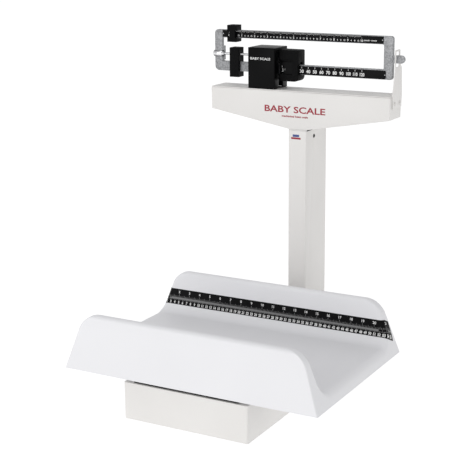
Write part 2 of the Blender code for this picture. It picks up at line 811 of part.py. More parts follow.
# ---- platform and tray
def tray_side(inset, bottom):
    """The tray's cross-section, moved in from its skin by inset, as right-hand then left-hand points."""
    corners = [
        (OUTER_FOOT - inset, bottom),
        (OUTER_RIM - inset, TRAY_TOP - inset),
        (INNER_RIM + inset, TRAY_TOP - inset),
        (INNER_FOOT + inset, TRAY_FLOOR - inset),
    ]
    corners += [(-y, z) for y, z in reversed(corners)]
    rim = RIM_ROUND - inset
    radii = [0, rim, rim, FLOOR_ROUND + inset]
    radii += radii[::-1]
    return rounded([(y + TRAY_Y, z) for y, z in corners], radii, 6)


def tray_end(z, inset):
    """How far the tray reaches along X at a height: a leaning end with a rounded upper corner."""
    share = (z - TRAY_BOTTOM) / (TRAY_TOP - TRAY_BOTTOM)
    reach = TRAY_HALF_BOTTOM + (TRAY_HALF_TOP - TRAY_HALF_BOTTOM) * share - inset
    above = z - (TRAY_TOP - TRAY_CORNER)
    if above > 0:
        above = min(above, TRAY_CORNER)
        reach -= TRAY_CORNER - math.sqrt(TRAY_CORNER**2 - above**2)
    return reach


def lean_ends(part, inset, levels):
    """Cuts a prism at the given heights, then moves its two ends to the tray's leaning outline."""
    shape = bmesh.new()
    shape.from_mesh(part.data)
    for z in levels:
        every = shape.verts[:] + shape.edges[:] + shape.faces[:]
        bmesh.ops.bisect_plane(shape, geom=every, plane_co=(0, 0, z), plane_no=(0, 0, 1), dist=0.00001)
    for vertex in shape.verts:
        vertex.co.x = math.copysign(tray_end(vertex.co.z, inset), vertex.co.x)
    bmesh.ops.triangulate(shape, faces=shape.faces)
    shape.to_mesh(part.data)
    shape.free()
    return part


def make_tray():
    width = 2 * TRAY_HALF_BOTTOM
    levels = [TRAY_TOP - TRAY_CORNER * share for share in (1.0, 0.8, 0.6, 0.42, 0.26, 0.13)]
    tray = outline("tray", [tray_side(0.0, TRAY_BOTTOM)], "YZ", 0.0, width, "white_abs")
    lean_ends(tray, 0.0, levels)
    hollow = outline("tray_hollow", [tray_side(TRAY_SKIN, TRAY_BOTTOM - 0.02)], "YZ", 0.0, width)
    lean_ends(hollow, TRAY_SKIN, levels)
    cut(tray, hollow)
    return tray


def wall_at(path, z):
    """The rear inner wall's Y at a height, read along the section's path."""
    for (y0, z0), (y1, z1) in zip(path, path[1:]):
        if min(z0, z1) <= z <= max(z0, z1) and abs(z1 - z0) > 1e-9 and 0.12 < y0 - TRAY_Y < 0.168:
            return y0 + (y1 - y0) * (z - z0) / (z1 - z0)
    raise ValueError("no wall at that height")


def make_tape():
    """The measuring tape on the rear inner wall, a thin strip that follows the wall's curve."""
    steps = 9
    heights = [TAPE_Z[0] + (TAPE_Z[1] - TAPE_Z[0]) * i / (steps - 1) for i in range(steps)]
    back = [(wall_at(tray_side(-GAP, TRAY_BOTTOM), z), z) for z in heights]
    front = [(wall_at(tray_side(-GAP - 0.0005, TRAY_BOTTOM), z), z) for z in heights]
    tape = outline("measuring_tape", [back + front[::-1]], "YZ", 0.0, 0.5, "printed_black")
    return lean_ends(tape, TAPE_INSET, [])


def make_platform():
    low, high = PLATFORM_Z
    plate = block(
        "platform_plate",
        (-0.1150, TRAY_Y - 0.1935, low),
        (0.1150, TRAY_Y + 0.1935, high),
        "black_crinkle",
        0.003,
    )
    places = zip(("front_left", "front_right", "rear_left", "rear_right"), post_places())
    posts = []
    for name, (x, y) in places:
        edge_z = LONG_EDGE_Z if name.startswith("front") else SHORT_EDGE_Z
        post = block(
            f"platform_post_{name}",
            (x - 0.0045, y - 0.0060, edge_z - 0.0010),
            (x + 0.0045, y + 0.0060, low - GAP),
            "cast_iron",
        )
        cut(post, seat(f"post_seat_{name}", "X", (x, y, edge_z), 0.03, False))
        posts.append(post)
    rails = []
    for name, y in (("front", -0.095), ("rear", 0.095)):
        rail = block(
            f"tray_rail_{name}",
            (-0.100, TRAY_Y + y - 0.010, high + GAP),
            (0.100, TRAY_Y + y + 0.010, TRAY_FLOOR - TRAY_SKIN - 0.0006),
            "rubber",
        )
        rails.append(rail)
    return [plate, *posts, *rails]


# ---- assembly: each moving body hangs from an empty on its joint's axis
def body(name, axis_point, parts):
    holder = bpy.data.objects.new(name, None)
    holder.location = axis_point
    PARTS.objects.link(holder)
    bpy.context.view_layer.update()
    for part in parts:
        part.parent = holder
        part.matrix_parent_inverse = holder.matrix_world.inverted()
    return holder


stand_parts = [
    *make_base(),
    *make_column(),
    *make_head(),
    *make_fulcrum(),
    *make_trig_loop(),
    *make_lever_stands(),
]
lever_parts, shelf_stand = make_shelf_lever()
screw_parts, weight_parts = make_zero_screw()

body("stand_at_floor", (0, 0, 0), [*stand_parts, *shelf_stand])
beam_holder = body("beam_on_fulcrum", (PIVOT_X, BEAM_Y, PIVOT_Z), make_beam())
riders = (
    body("screw_on_beam", (-0.2035, BEAM_Y, SCREW_Z), screw_parts),
    body("weight_on_beam", (-0.161, BEAM_Y, SCREW_Z), weight_parts),
    body("upper_poise_on_beam", (-0.177, BEAM_Y, BEAM_Z[1]), make_upper_poise()),
    body("lower_poise_on_beam", (-0.050, BEAM_Y, OPENING_Z[0]), make_lower_poise()),
)
for rider in riders:
    rider.parent = beam_holder
    rider.matrix_parent_inverse = beam_holder.matrix_world.inverted()
body("link_on_beam", (LINK_X, BEAM_Y, PIVOT_Z), make_beam_link())
body("shelf_lever_on_stand", (SHELF_PIVOT_X, BEAM_Y, SHELF_EDGE_Z), lever_parts)
body("rod_on_shelf_lever", (ROD_X, BEAM_Y, SHELF_EDGE_Z), make_draft_rod())
body("long_lever_on_stands", (0, TRAY_Y - HALF_SPAN, LONG_EDGE_Z), make_long_lever())
body("nose_link_on_lever", (0, TRAY_Y, LONG_EDGE_Z), make_nose_link())
body("short_lever_on_stands", (0, TRAY_Y + HALF_SPAN, SHORT_EDGE_Z), make_short_lever())
body("platform_on_levers", (0, TRAY_Y, PLATFORM_Z[0]), [*make_platform(), make_tray(), make_tape()])
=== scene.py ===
# %% [markdown]
# # Finishing an infant beam scale
# The engineering model already holds every part at its true size and place. This lesson gives it
# its looks: rounded edges, printed scales, paint, plastic and metal, one step at a time.
# We start by loading that model, and by noting its box, which no finished piece may outgrow.

import json
import math

import bmesh
import bpy
from mathutils import Matrix, Vector


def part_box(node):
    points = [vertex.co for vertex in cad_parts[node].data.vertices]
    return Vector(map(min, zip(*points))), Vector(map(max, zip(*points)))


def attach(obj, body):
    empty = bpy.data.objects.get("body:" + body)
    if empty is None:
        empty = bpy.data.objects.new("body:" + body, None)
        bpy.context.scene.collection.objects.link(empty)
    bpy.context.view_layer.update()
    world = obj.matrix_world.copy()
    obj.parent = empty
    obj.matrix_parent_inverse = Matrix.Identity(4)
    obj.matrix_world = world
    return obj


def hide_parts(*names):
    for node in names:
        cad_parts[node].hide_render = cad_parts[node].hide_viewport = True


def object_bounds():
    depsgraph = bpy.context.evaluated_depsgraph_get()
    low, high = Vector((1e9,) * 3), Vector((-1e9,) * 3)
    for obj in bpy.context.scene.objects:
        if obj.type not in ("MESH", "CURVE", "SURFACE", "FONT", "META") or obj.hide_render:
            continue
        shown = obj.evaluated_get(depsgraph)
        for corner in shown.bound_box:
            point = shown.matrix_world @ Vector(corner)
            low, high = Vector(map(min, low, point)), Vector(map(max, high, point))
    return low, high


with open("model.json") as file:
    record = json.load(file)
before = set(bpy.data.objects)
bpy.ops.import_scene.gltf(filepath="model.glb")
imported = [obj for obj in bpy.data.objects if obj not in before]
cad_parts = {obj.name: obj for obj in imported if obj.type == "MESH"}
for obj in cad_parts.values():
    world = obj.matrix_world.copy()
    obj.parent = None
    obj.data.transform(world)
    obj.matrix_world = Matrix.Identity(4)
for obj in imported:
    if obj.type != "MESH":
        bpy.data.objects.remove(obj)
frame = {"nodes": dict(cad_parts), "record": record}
nodes = frame["nodes"]
bodies = frame["record"]["behaviour"]["bodies"]
body_of_node = {node: body for body, group in bodies.items() for node in group}
slot_of_node = {row["node"]: row["material_slot"] for row in frame["record"]["subparts"]}
cad_low, cad_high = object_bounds()
print(f"{len(nodes)} parts in a box of", [round(side, 3) for side in cad_high - cad_low])

# %% [markdown]
# ## Camera, light and floor
# A catalogue view: a long lens, a little above the tray and well to the right of the beam's middle.
# The light is broad and comes from the front, so upright faces are bright and level ones are a
# tone darker. A pale floor that glows a little keeps the shadows soft.

# %% Camera
CAMERA_PLACE = Vector((1.1436, -2.1464, 0.9387))
CAMERA_YAW = math.radians(29.04)
CAMERA_PITCH = math.radians(-14.36)
CAMERA_ROLL = math.radians(-0.46)
LENS = 95.5  # millimetres on a 36 mm sensor

camera = bpy.data.objects.new("camera", bpy.data.cameras.new("camera"))
bpy.context.scene.collection.objects.link(camera)
upright = Matrix.Rotation(CAMERA_YAW, 4, "Z") @ Matrix.Rotation(math.pi / 2 + CAMERA_PITCH, 4, "X")
camera.matrix_world = Matrix.Translation(CAMERA_PLACE) @ upright @ Matrix.Rotation(CAMERA_ROLL, 4, "Z")
camera.data.sensor_width = 36.0
camera.data.lens = LENS
bpy.context.scene.camera = camera
print("camera", [round(value, 3) for value in camera.location], "lens", camera.data.lens)


# %% Soft lights and a pale floor
def area_light(name, place, target, size, power):
    """A square soft box that faces its target."""
    lamp = bpy.data.lights.new(name, "AREA")
    lamp.size = size
    lamp.energy = power
    holder = bpy.data.objects.new(name, lamp)
    bpy.context.scene.collection.objects.link(holder)
    holder.location = place
    holder.rotation_mode = "QUATERNION"
    holder.rotation_quaternion = (Vector(target) - Vector(place)).to_track_quat("-Z", "Y")
    return holder


FLOOR_SIZE = 90
FLOOR_DEPTH = 0.0005  # a hair below the feet
FLOOR_GLOW = 0.86
WHITE_BELOW, GREY_ABOVE = 0.05, 0.55  # heights of the backdrop, as the sine of the elevation

middle = (cad_low + cad_high) / 2
area_light("front_box", (-0.9, -3.4, 1.3), middle, 2.6, 26)
area_light("top_box", (-0.2, -0.6, 3.2), middle, 1.6, 9)

world = bpy.data.worlds.new("studio")
bpy.context.scene.world = world
world.use_nodes = True
sky = world.node_tree
backdrop = sky.nodes["Background"]
height = sky.nodes.new("ShaderNodeSeparateXYZ")
tones = sky.nodes.new("ShaderNodeValToRGB")
direction = sky.nodes.new("ShaderNodeTexCoord")
sky.links.new(direction.outputs["Generated"], height.inputs[0])
sky.links.new(height.outputs["Z"], tones.inputs["Fac"])
sky.links.new(tones.outputs["Color"], backdrop.inputs["Color"])
tones.color_ramp.elements[0].position = WHITE_BELOW
tones.color_ramp.elements[0].color = (1.0, 1.0, 1.0, 1.0)
tones.color_ramp.elements[1].position = GREY_ABOVE
tones.color_ramp.elements[1].color = (0.72, 0.72, 0.73, 1.0)
backdrop.inputs["Strength"].default_value = 0.82
bpy.context.scene.view_settings.view_transform = "Standard"

bpy.ops.mesh.primitive_plane_add(size=FLOOR_SIZE, location=(0, 0, -FLOOR_DEPTH))
floor = bpy.context.object
floor.name = "floor"
floor_paint = bpy.data.materials.new("floor_paint")
floor_paint.use_nodes = True
floor_shader = floor_paint.node_tree.nodes["Principled BSDF"]
floor_shader.inputs["Base Color"].default_value = (0.30, 0.30, 0.30, 1)
floor_shader.inputs["Roughness"].default_value = 0.9
floor_shader.inputs["Specular IOR Level"].default_value = 0.0
floor_shader.inputs["Emission Color"].default_value = (1, 1, 1, 1)
floor_shader.inputs["Emission Strength"].default_value = FLOOR_GLOW
floor.data.materials.append(floor_paint)
print("studio: 2 soft boxes, a graded backdrop and a pale floor")

# %% [markdown]
# ## Finishes
# Every finish is a small node tree on the Principled shader. They share three moves: a noise that
# shifts the colour a little, the same noise shifting the roughness, and a finer one for the
# surface relief. Object coordinates are used throughout, so a pattern has its real size in metres.

# %% A helper for finishes
made_finishes = {}


def start_finish(name, roughness, metallic=0.0):
    """A new Principled material. Returns its tree, its shader and its Object coordinates."""
    material = bpy.data.materials.new(name)
    material.use_nodes = True
    tree = material.node_tree
    shader = tree.nodes["Principled BSDF"]
    shader.inputs["Roughness"].default_value = roughness
    shader.inputs["Metallic"].default_value = metallic
    place = tree.nodes.new("ShaderNodeTexCoord").outputs["Object"]
    made_finishes[name] = material
    return tree, shader, place


def noise(tree, place, scale, detail=2.0, stretch=None):
    """A noise pattern, scale cells a metre, squeezed along an axis where stretch says so."""
    if stretch:
        mapping = tree.nodes.new("ShaderNodeMapping")
        mapping.inputs["Scale"].default_value = stretch
        tree.links.new(place, mapping.inputs["Vector"])
        place = mapping.outputs["Vector"]
    pattern = tree.nodes.new("ShaderNodeTexNoise")
    pattern.inputs["Scale"].default_value = scale
    pattern.inputs["Detail"].default_value = detail
    tree.links.new(place, pattern.inputs["Vector"])
    return pattern.outputs["Fac"]


def cells(tree, place, scale):
    """Rounded cells, as in crinkle and hammer paints."""
    pattern = tree.nodes.new("ShaderNodeTexVoronoi")
    pattern.feature = "SMOOTH_F1"
    pattern.inputs["Scale"].default_value = scale
    pattern.inputs["Smoothness"].default_value = 1.0
    tree.links.new(place, pattern.inputs["Vector"])
    return pattern.outputs["Distance"]


def tint(tree, shader, pattern, dark, light, low=0.3, high=0.7):
    """The pattern as a change of colour from dark to light."""
    ramp = tree.nodes.new("ShaderNodeValToRGB")
    ramp.color_ramp.elements[0].position = low
    ramp.color_ramp.elements[0].color = (*dark, 1)
    ramp.color_ramp.elements[1].position = high
    ramp.color_ramp.elements[1].color = (*light, 1)
    tree.links.new(pattern, ramp.inputs["Fac"])
    tree.links.new(ramp.outputs["Color"], shader.inputs["Base Color"])


def polish(tree, shader, pattern, low, high):
    """The pattern as a change of roughness from low to high."""
    span = tree.nodes.new("ShaderNodeMapRange")
    span.inputs["To Min"].default_value = low
    span.inputs["To Max"].default_value = high
    tree.links.new(pattern, span.inputs["Value"])
    tree.links.new(span.outputs["Result"], shader.inputs["Roughness"])


def relief(tree, shader, pattern, depth, strength=1.0):
    """The pattern as relief of a real depth in metres."""
    bump = tree.nodes.new("ShaderNodeBump")
    bump.inputs["Distance"].default_value = depth
    bump.inputs["Strength"].default_value = strength
    tree.links.new(pattern, bump.inputs["Height"])
    tree.links.new(bump.outputs["Normal"], shader.inputs["Normal"])


# %% [markdown]
# ### White paint and white plastic
# The sheet metal is powder coated: faintly warm, half gloss, with an orange-peel relief about two
# millimetres across. The tray is cooler, smoother moulded plastic, with the slow ripple that a
# large moulding keeps from its tool.

# %% Powder coat and tray plastic
tree, shader, place = start_finish("powder_coat", 0.42)
tint(tree, shader, noise(tree, place, 7.0, 3.0), (0.745, 0.73, 0.71), (0.775, 0.76, 0.74))
polish(tree, shader, noise(tree, place, 30.0), 0.34, 0.48)
relief(tree, shader, noise(tree, place, 480.0, 1.0), 0.00007)

tree, shader, place = start_finish("tray_plastic", 0.40)
tint(tree, shader, noise(tree, place, 5.0, 2.0), (0.80, 0.80, 0.818), (0.82, 0.82, 0.838))
polish(tree, shader, noise(tree, place, 18.0), 0.36, 0.50)
relief(tree, shader, noise(tree, place, 950.0, 2.0), 0.00004)
shader.inputs["Specular IOR Level"].default_value = 0.4
print("white finishes:", sorted(made_finishes))

# %% [markdown]
# ### Black paints
# The poises, the balance weight and the platform wear crinkle paint: small hard wrinkles that
# break up the shine. The cover over the fulcrum is smooth moulded plastic with a very fine grain,
# and the scale plates are thin printed metal.

# %% Crinkle paint, cover plastic and printed plate
tree, shader, place = start_finish("crinkle_paint", 0.55)
wrinkles = cells(tree, place, 520.0)
tint(tree, shader, wrinkles, (0.0055, 0.0055, 0.0058), (0.0015, 0.0015, 0.0017), 0.1, 0.8)
polish(tree, shader, noise(tree, place, 300.0), 0.42, 0.66)
shader.inputs["Specular IOR Level"].default_value = 0.06
relief(tree, shader, wrinkles, 0.00035, 0.8)

tree, shader, place = start_finish("cover_plastic", 0.34)
tint(tree, shader, noise(tree, place, 40.0, 3.0), (0.0016, 0.0016, 0.0018), (0.0028, 0.0028, 0.0031))
polish(tree, shader, noise(tree, place, 90.0), 0.24, 0.38)
shader.inputs["Specular IOR Level"].default_value = 0.07
relief(tree, shader, noise(tree, place, 1500.0, 2.0), 0.00005)

tree, shader, place = start_finish("printed_plate", 0.36)
tint(tree, shader, noise(tree, place, 60.0, 3.0), (0.0025, 0.0025, 0.0029), (0.005, 0.005, 0.0055))
polish(tree, shader, noise(tree, place, 120.0), 0.34, 0.50)
shader.inputs["Specular IOR Level"].default_value = 0.08
relief(tree, shader, noise(tree, place, 2000.0), 0.00002)
print("black finishes added:", len(made_finishes))

# %% [markdown]
# ### Inks
# Numerals and ticks are silk-screened. Ink is never quite even, so a fine noise lightens it in
# places. One red and one blue serve the plain decals.

# %% White, grey, red and blue ink
INKS = {
    "white_ink": ((0.70, 0.70, 0.69), (0.86, 0.86, 0.85)),
    "grey_ink": ((0.15, 0.15, 0.15), (0.22, 0.22, 0.22)),
    "red_ink": ((0.27, 0.008, 0.022), (0.36, 0.014, 0.032)),
    "blue_ink": ((0.03, 0.05, 0.20), (0.05, 0.08, 0.28)),
}
for ink, (thin, full) in INKS.items():
    tree, shader, place = start_finish(ink, 0.45)
    tint(tree, shader, noise(tree, place, 700.0, 3.0), thin, full)
    relief(tree, shader, noise(tree, place, 2500.0), 0.00001)
print("inks:", sorted(INKS))

# %% [markdown]
# ### Metals
# The beam is a die casting in silver hammer paint: soft dimples that catch the light. The zero
# screw and its knob are chromed, with turning marks round their axis, and their colour darkens
# towards the silhouette as a painted dark reflection. Levers are painted castings with a sandy skin,
# and knives and links are ground steel with marks along one way.

# %% Hammer paint, chrome, ground steel and cast iron
tree, shader, place = start_finish("hammer_paint", 0.36, 0.40)
dimples = cells(tree, place, 330.0)
tint(tree, shader, dimples, (0.37, 0.375, 0.385), (0.19, 0.193, 0.20), 0.15, 0.75)
polish(tree, shader, noise(tree, place, 220.0), 0.28, 0.44)
relief(tree, shader, dimples, 0.00040, 0.7)

tree, shader, place = start_finish("chrome", 0.10, 1.0)
turning = noise(tree, place, 60.0, 2.0, (60.0, 1.0, 1.0))
# Layer Weight added to the turning marks darkens the chrome's base colour towards the silhouette: a painted
# dark reflection.
rim = tree.nodes.new("ShaderNodeLayerWeight")
rim.inputs["Blend"].default_value = 0.5
turning_and_painted_dark_rim = tree.nodes.new("ShaderNodeMath")
turning_and_painted_dark_rim.operation = "ADD"
tree.links.new(rim.outputs["Facing"], turning_and_painted_dark_rim.inputs[0])
tree.links.new(turning, turning_and_painted_dark_rim.inputs[1])
tint(tree, shader, turning_and_painted_dark_rim.outputs[0], (0.82, 0.82, 0.83), (0.10, 0.10, 0.11), 0.75, 1.35)
polish(tree, shader, turning, 0.06, 0.16)
relief(tree, shader, turning, 0.00001)

tree, shader, place = start_finish("ground_steel", 0.32, 1.0)
grinding = noise(tree, place, 90.0, 3.0, (1.0, 1.0, 14.0))
tint(tree, shader, grinding, (0.40, 0.40, 0.41), (0.58, 0.58, 0.59))
polish(tree, shader, grinding, 0.25, 0.45)
relief(tree, shader, grinding, 0.00003)

tree, shader, place = start_finish("cast_iron", 0.62, 0.25)
sand = noise(tree, place, 700.0, 4.0)
tint(tree, shader, noise(tree, place, 25.0, 4.0), (0.055, 0.057, 0.060), (0.095, 0.097, 0.10))
polish(tree, shader, sand, 0.55, 0.75)
relief(tree, shader, sand, 0.0003, 0.6)

tree, shader, place = start_finish("zinc_plate", 0.30, 1.0)
bloom = noise(tree, place, 260.0, 4.0)
tint(tree, shader, bloom, (0.46, 0.47, 0.48), (0.62, 0.63, 0.64))
polish(tree, shader, bloom, 0.22, 0.42)

tree, shader, place = start_finish("foot_rubber", 0.80)
tint(tree, shader, noise(tree, place, 60.0, 4.0), (0.014, 0.014, 0.014), (0.028, 0.028, 0.028))
relief(tree, shader, noise(tree, place, 1300.0, 2.0), 0.00012, 0.8)
print("all finishes:", len(made_finishes))

FINISH_OF_SLOT = {
    "white_enamel": "powder_coat",
    "white_abs": "tray_plastic",
    "black_crinkle": "crinkle_paint",
    "black_plastic": "cover_plastic",
    "hammertone": "hammer_paint",
    "chrome": "chrome",
    "steel": "ground_steel",
    "cast_iron": "cast_iron",
    "rubber": "foot_rubber",
    "printed_black": "printed_plate",
}


# %% [markdown]
# ## Working helpers
# `keep` is how every finished piece enters the scene: its mesh goes in at its real place, it takes
# a finish, it rides on a body, and it stands for the engineering parts it covers.
# `settle` turns modifiers into plain geometry, so that what is measured is what is shown.

# %% Keep a piece, settle its modifiers
def loose(name, mesh_maker):
    """An object from a bmesh that the scene holds but has not kept yet."""
    mesh = bpy.data.meshes.new(name)
    mesh_maker.to_mesh(mesh)
    mesh_maker.free()
    made = bpy.data.objects.new(name, mesh)
    bpy.context.scene.collection.objects.link(made)
    return made


def outward(shape):
    """Turns the faces of a closed bmesh so that they all look out."""
    bmesh.ops.recalc_face_normals(shape, faces=shape.faces)
    if shape.calc_volume(signed=True) < 0:
        bmesh.ops.reverse_faces(shape, faces=shape.faces)
    return shape


def settle(piece):
    """Applies every modifier by taking the evaluated mesh."""
    bpy.context.view_layer.update()
    shown = piece.evaluated_get(bpy.context.evaluated_depsgraph_get())
    mesh = bpy.data.meshes.new_from_object(shown)
    piece.modifiers.clear()
    piece.data = mesh
    return piece


def keep(piece, finish, body, covers=(), smooth=35):
    """Gives a piece its finish and body. The piece already lies where it belongs."""
    piece.data.materials.clear()
    piece.data.materials.append(made_finishes[finish])
    if smooth:
        piece.data.shade_smooth()
        piece.data.set_sharp_from_angle(angle=math.radians(smooth))
    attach(piece, body)
    if covers:
        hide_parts(*covers)
    return piece


# %% [markdown]
# Most sheet-metal and cast parts have the right shape already and only lack their rounded edges.
# `soften` takes a copy of such a part, merges its triangles back into flat faces, and rolls a
# small bevel along every sharp edge. Hardened normals keep the flats flat.

# %% Soften a part's edges
def soften(node, radius, segments=3, merge=True):
    """A rounded copy of an engineering part, which it then stands for. merge joins its flat triangles."""
    shape = bmesh.new()
    shape.from_mesh(nodes[node].data)
    bmesh.ops.remove_doubles(shape, verts=shape.verts, dist=0.00001)
    if merge:
        bmesh.ops.dissolve_limit(
            shape, angle_limit=math.radians(1.0), verts=shape.verts, edges=shape.edges, delimit={"NORMAL"}
        )
    piece = loose(node + "_finished", shape)
    piece.data.shade_smooth()
    bevel = piece.modifiers.new("edges", "BEVEL")
    bevel.width = radius
    bevel.segments = segments
    bevel.limit_method = "ANGLE"
    bevel.angle_limit = math.radians(35)
    bevel.harden_normals = True
    bevel.use_clamp_overlap = True
    settle(piece)
    slot = slot_of_node[node]
    keep(piece, FINISH_OF_SLOT[slot], body_of_node[node], [node], smooth=0)
    return piece


for node in nodes.values():
    slot = slot_of_node[node.name]
    node.data.materials.clear()
    node.data.materials.append(made_finishes[FINISH_OF_SLOT[slot]])
print("every engineering part has its finish")

# %% [markdown]
# ## Repeated marks and fasteners
# Ticks and rivets repeat, so Geometry Nodes place them. One tree lays a row of
# flat ticks along X. The other sets a copy of a template on every point of a mesh. Both end in
# Realize Instances and Set Material, and both are then turned into plain meshes.


# %% A node tree with named inputs
def new_tree(name, inputs):
    """An empty Geometry Nodes tree. inputs maps a socket's name to its type. Returns (tree, in, out)."""
    tree = bpy.data.node_groups.new(name, "GeometryNodeTree")
    tree.interface.new_socket("Geometry", in_out="INPUT", socket_type="NodeSocketGeometry")
    for socket, kind in inputs.items():
        tree.interface.new_socket(socket, in_out="INPUT", socket_type=kind)
    tree.interface.new_socket("Geometry", in_out="OUTPUT", socket_type="NodeSocketGeometry")
    return tree, tree.nodes.new("NodeGroupInput"), tree.nodes.new("NodeGroupOutput")


def close_tree(tree, given, result, geometry):
    """Ends a tree in Realize Instances and Set Material."""
    realize = tree.nodes.new("GeometryNodeRealizeInstances")
    coat = tree.nodes.new("GeometryNodeSetMaterial")
    tree.links.new(geometry, realize.inputs["Geometry"])
    tree.links.new(realize.outputs["Geometry"], coat.inputs["Geometry"])
    tree.links.new(given.outputs["Material"], coat.inputs["Material"])
    tree.links.new(coat.outputs["Geometry"], result.inputs[0])


def run_tree(name, tree, mesh, values):
    """The tree's result on a mesh, as a plain mesh. values maps an input's name to its value."""
    holder = bpy.data.objects.new(name, mesh)
    bpy.context.scene.collection.objects.link(holder)
    step = holder.modifiers.new(name, "NODES")
    step.node_group = tree
    for item in tree.interface.items_tree:
        if item.in_out == "INPUT" and item.name in values:
            step[item.identifier] = values[item.name]
    settle(holder)
    made = holder.data
    bpy.data.objects.remove(holder, do_unlink=True)
    return made


# %% The tick row and the copies on points
tick_tree, given, result = new_tree(
    "tick_row",
    {
        "Count": "NodeSocketInt",
        "Pitch": "NodeSocketFloat",
        "Width": "NodeSocketFloat",
        "Height": "NodeSocketFloat",
        "Material": "NodeSocketMaterial",
    },
)
line = tick_tree.nodes.new("GeometryNodeMeshLine")
step_size = tick_tree.nodes.new("ShaderNodeCombineXYZ")
tick = tick_tree.nodes.new("GeometryNodeMeshGrid")
tick.inputs["Vertices X"].default_value = 2
tick.inputs["Vertices Y"].default_value = 2
along = tick_tree.nodes.new("GeometryNodeInstanceOnPoints")
tick_tree.links.new(given.outputs["Count"], line.inputs["Count"])
tick_tree.links.new(given.outputs["Pitch"], step_size.inputs["X"])
tick_tree.links.new(step_size.outputs[0], line.inputs["Offset"])
tick_tree.links.new(given.outputs["Width"], tick.inputs["Size X"])
tick_tree.links.new(given.outputs["Height"], tick.inputs["Size Y"])
tick_tree.links.new(line.outputs["Mesh"], along.inputs["Points"])
tick_tree.links.new(tick.outputs["Mesh"], along.inputs["Instance"])
close_tree(tick_tree, given, result, along.outputs["Instances"])

copy_tree, given, result = new_tree(
    "copies_on_points", {"Template": "NodeSocketObject", "Material": "NodeSocketMaterial"}
)
template = copy_tree.nodes.new("GeometryNodeObjectInfo")
copies = copy_tree.nodes.new("GeometryNodeInstanceOnPoints")
copy_tree.links.new(given.outputs["Template"], template.inputs["Object"])
copy_tree.links.new(given.outputs["Geometry"], copies.inputs["Points"])
copy_tree.links.new(template.outputs["Geometry"], copies.inputs["Instance"])
close_tree(copy_tree, given, result, copies.outputs["Instances"])
print("trees:", tick_tree.name, "and", copy_tree.name)

# %% [markdown]
# Printing works on a flat sheet first. `Print` gathers ticks and numerals with X to the right and
# Y up, and then a function bends the whole sheet onto its surface. A numeral is a text curve
# turned into faces, a little emboldened as screen ink is.


# %% Printing on a flat sheet
class Print:
    """Marks in one ink, drawn flat and then bent onto a surface."""

    def __init__(self):
        self.sheet = bmesh.new()

    def add(self, mesh, x, y):
        first = len(self.sheet.verts)
        self.sheet.from_mesh(mesh)
        self.sheet.verts.ensure_lookup_table()
        for vertex in self.sheet.verts[first:]:
            vertex.co.x += x
            vertex.co.y += y
        bpy.data.meshes.remove(mesh)

    def ticks(self, count, start, pitch, low, high, width):
        """Upright ticks between two heights."""
        values = {"Count": count, "Pitch": pitch, "Width": width, "Height": high - low}
        values["Material"] = made_finishes["white_ink"]
        self.add(run_tree("ticks", tick_tree, bpy.data.meshes.new("none"), values), start, (low + high) / 2)

    def words(self, text, x, y, size, bold=0.0, stretch=1.0):
        """Text centred on a point. size is the height of a numeral."""
        curve = bpy.data.curves.new("numeral", "FONT")
        curve.body = text
        curve.align_x = "CENTER"
        curve.align_y = "CENTER"
        curve.size = size / 0.72
        curve.offset = bold
        curve.resolution_u = 3
        holder = bpy.data.objects.new("numeral", curve)
        bpy.context.scene.collection.objects.link(holder)
        bpy.context.view_layer.update()
        shown = holder.evaluated_get(bpy.context.evaluated_depsgraph_get())
        mesh = bpy.data.meshes.new_from_object(shown)
        bpy.data.objects.remove(holder, do_unlink=True)
        mesh.transform(Matrix.Diagonal((stretch, 1.0, 1.0, 1.0)))
        self.add(mesh, x, y)

    def bar(self, left, low, right, high):
        """A filled rectangle."""
        corners = ((left, low), (right, low), (right, high), (left, high))
        self.sheet.faces.new([self.sheet.verts.new((x, y, 0.0)) for x, y in corners])

    def trim(self, inside):
        """Drops every mark that doesn't lie inside."""
        outside = [f for f in self.sheet.faces if not inside(*f.calc_center_median().xy)]
        bmesh.ops.delete(self.sheet, geom=outside, context="FACES")

    def on(self, name, surface, ink, body):
        """Bends the sheet onto a surface, and keeps it."""
        for vertex in self.sheet.verts:
            vertex.co = surface(vertex.co.x, vertex.co.y)
        return keep(loose(name, self.sheet), ink, body, smooth=0)


def facing_front(depth):
    """The surface for a flat face that looks towards -Y."""
    return lambda x, y: Vector((x, depth, y))


# %% [markdown]
# ## Base, column and head
# Pressed steel has a generous outside radius, and the loose edges of covers and caps have a small
# one. The wide faces stay dead flat. The platform and its rubber rails sit on the base and show
# as a thin dark line under the tray.

# %% Pressed sheet-metal parts
EDGE_RADII = {
    "base_housing": 0.0012,
    "base_floor_plate": 0.0004,
    "column_tube": 0.0005,
    "column_cap": 0.0004,
    "head_housing": 0.0006,
    "head_top_plate": 0.0008,
    "trig_loop_bracket": 0.0004,
    "platform_plate": 0.0006,
    "tray_rail_front": 0.0015,
    "tray_rail_rear": 0.0015,
}
for node, radius in EDGE_RADII.items():
    softened = soften(node, radius)
    print(softened.name, len(softened.data.polygons), "faces")

# %% [markdown]
# The four feet are rubber discs, turned here from their side profile with a rolled lower edge.


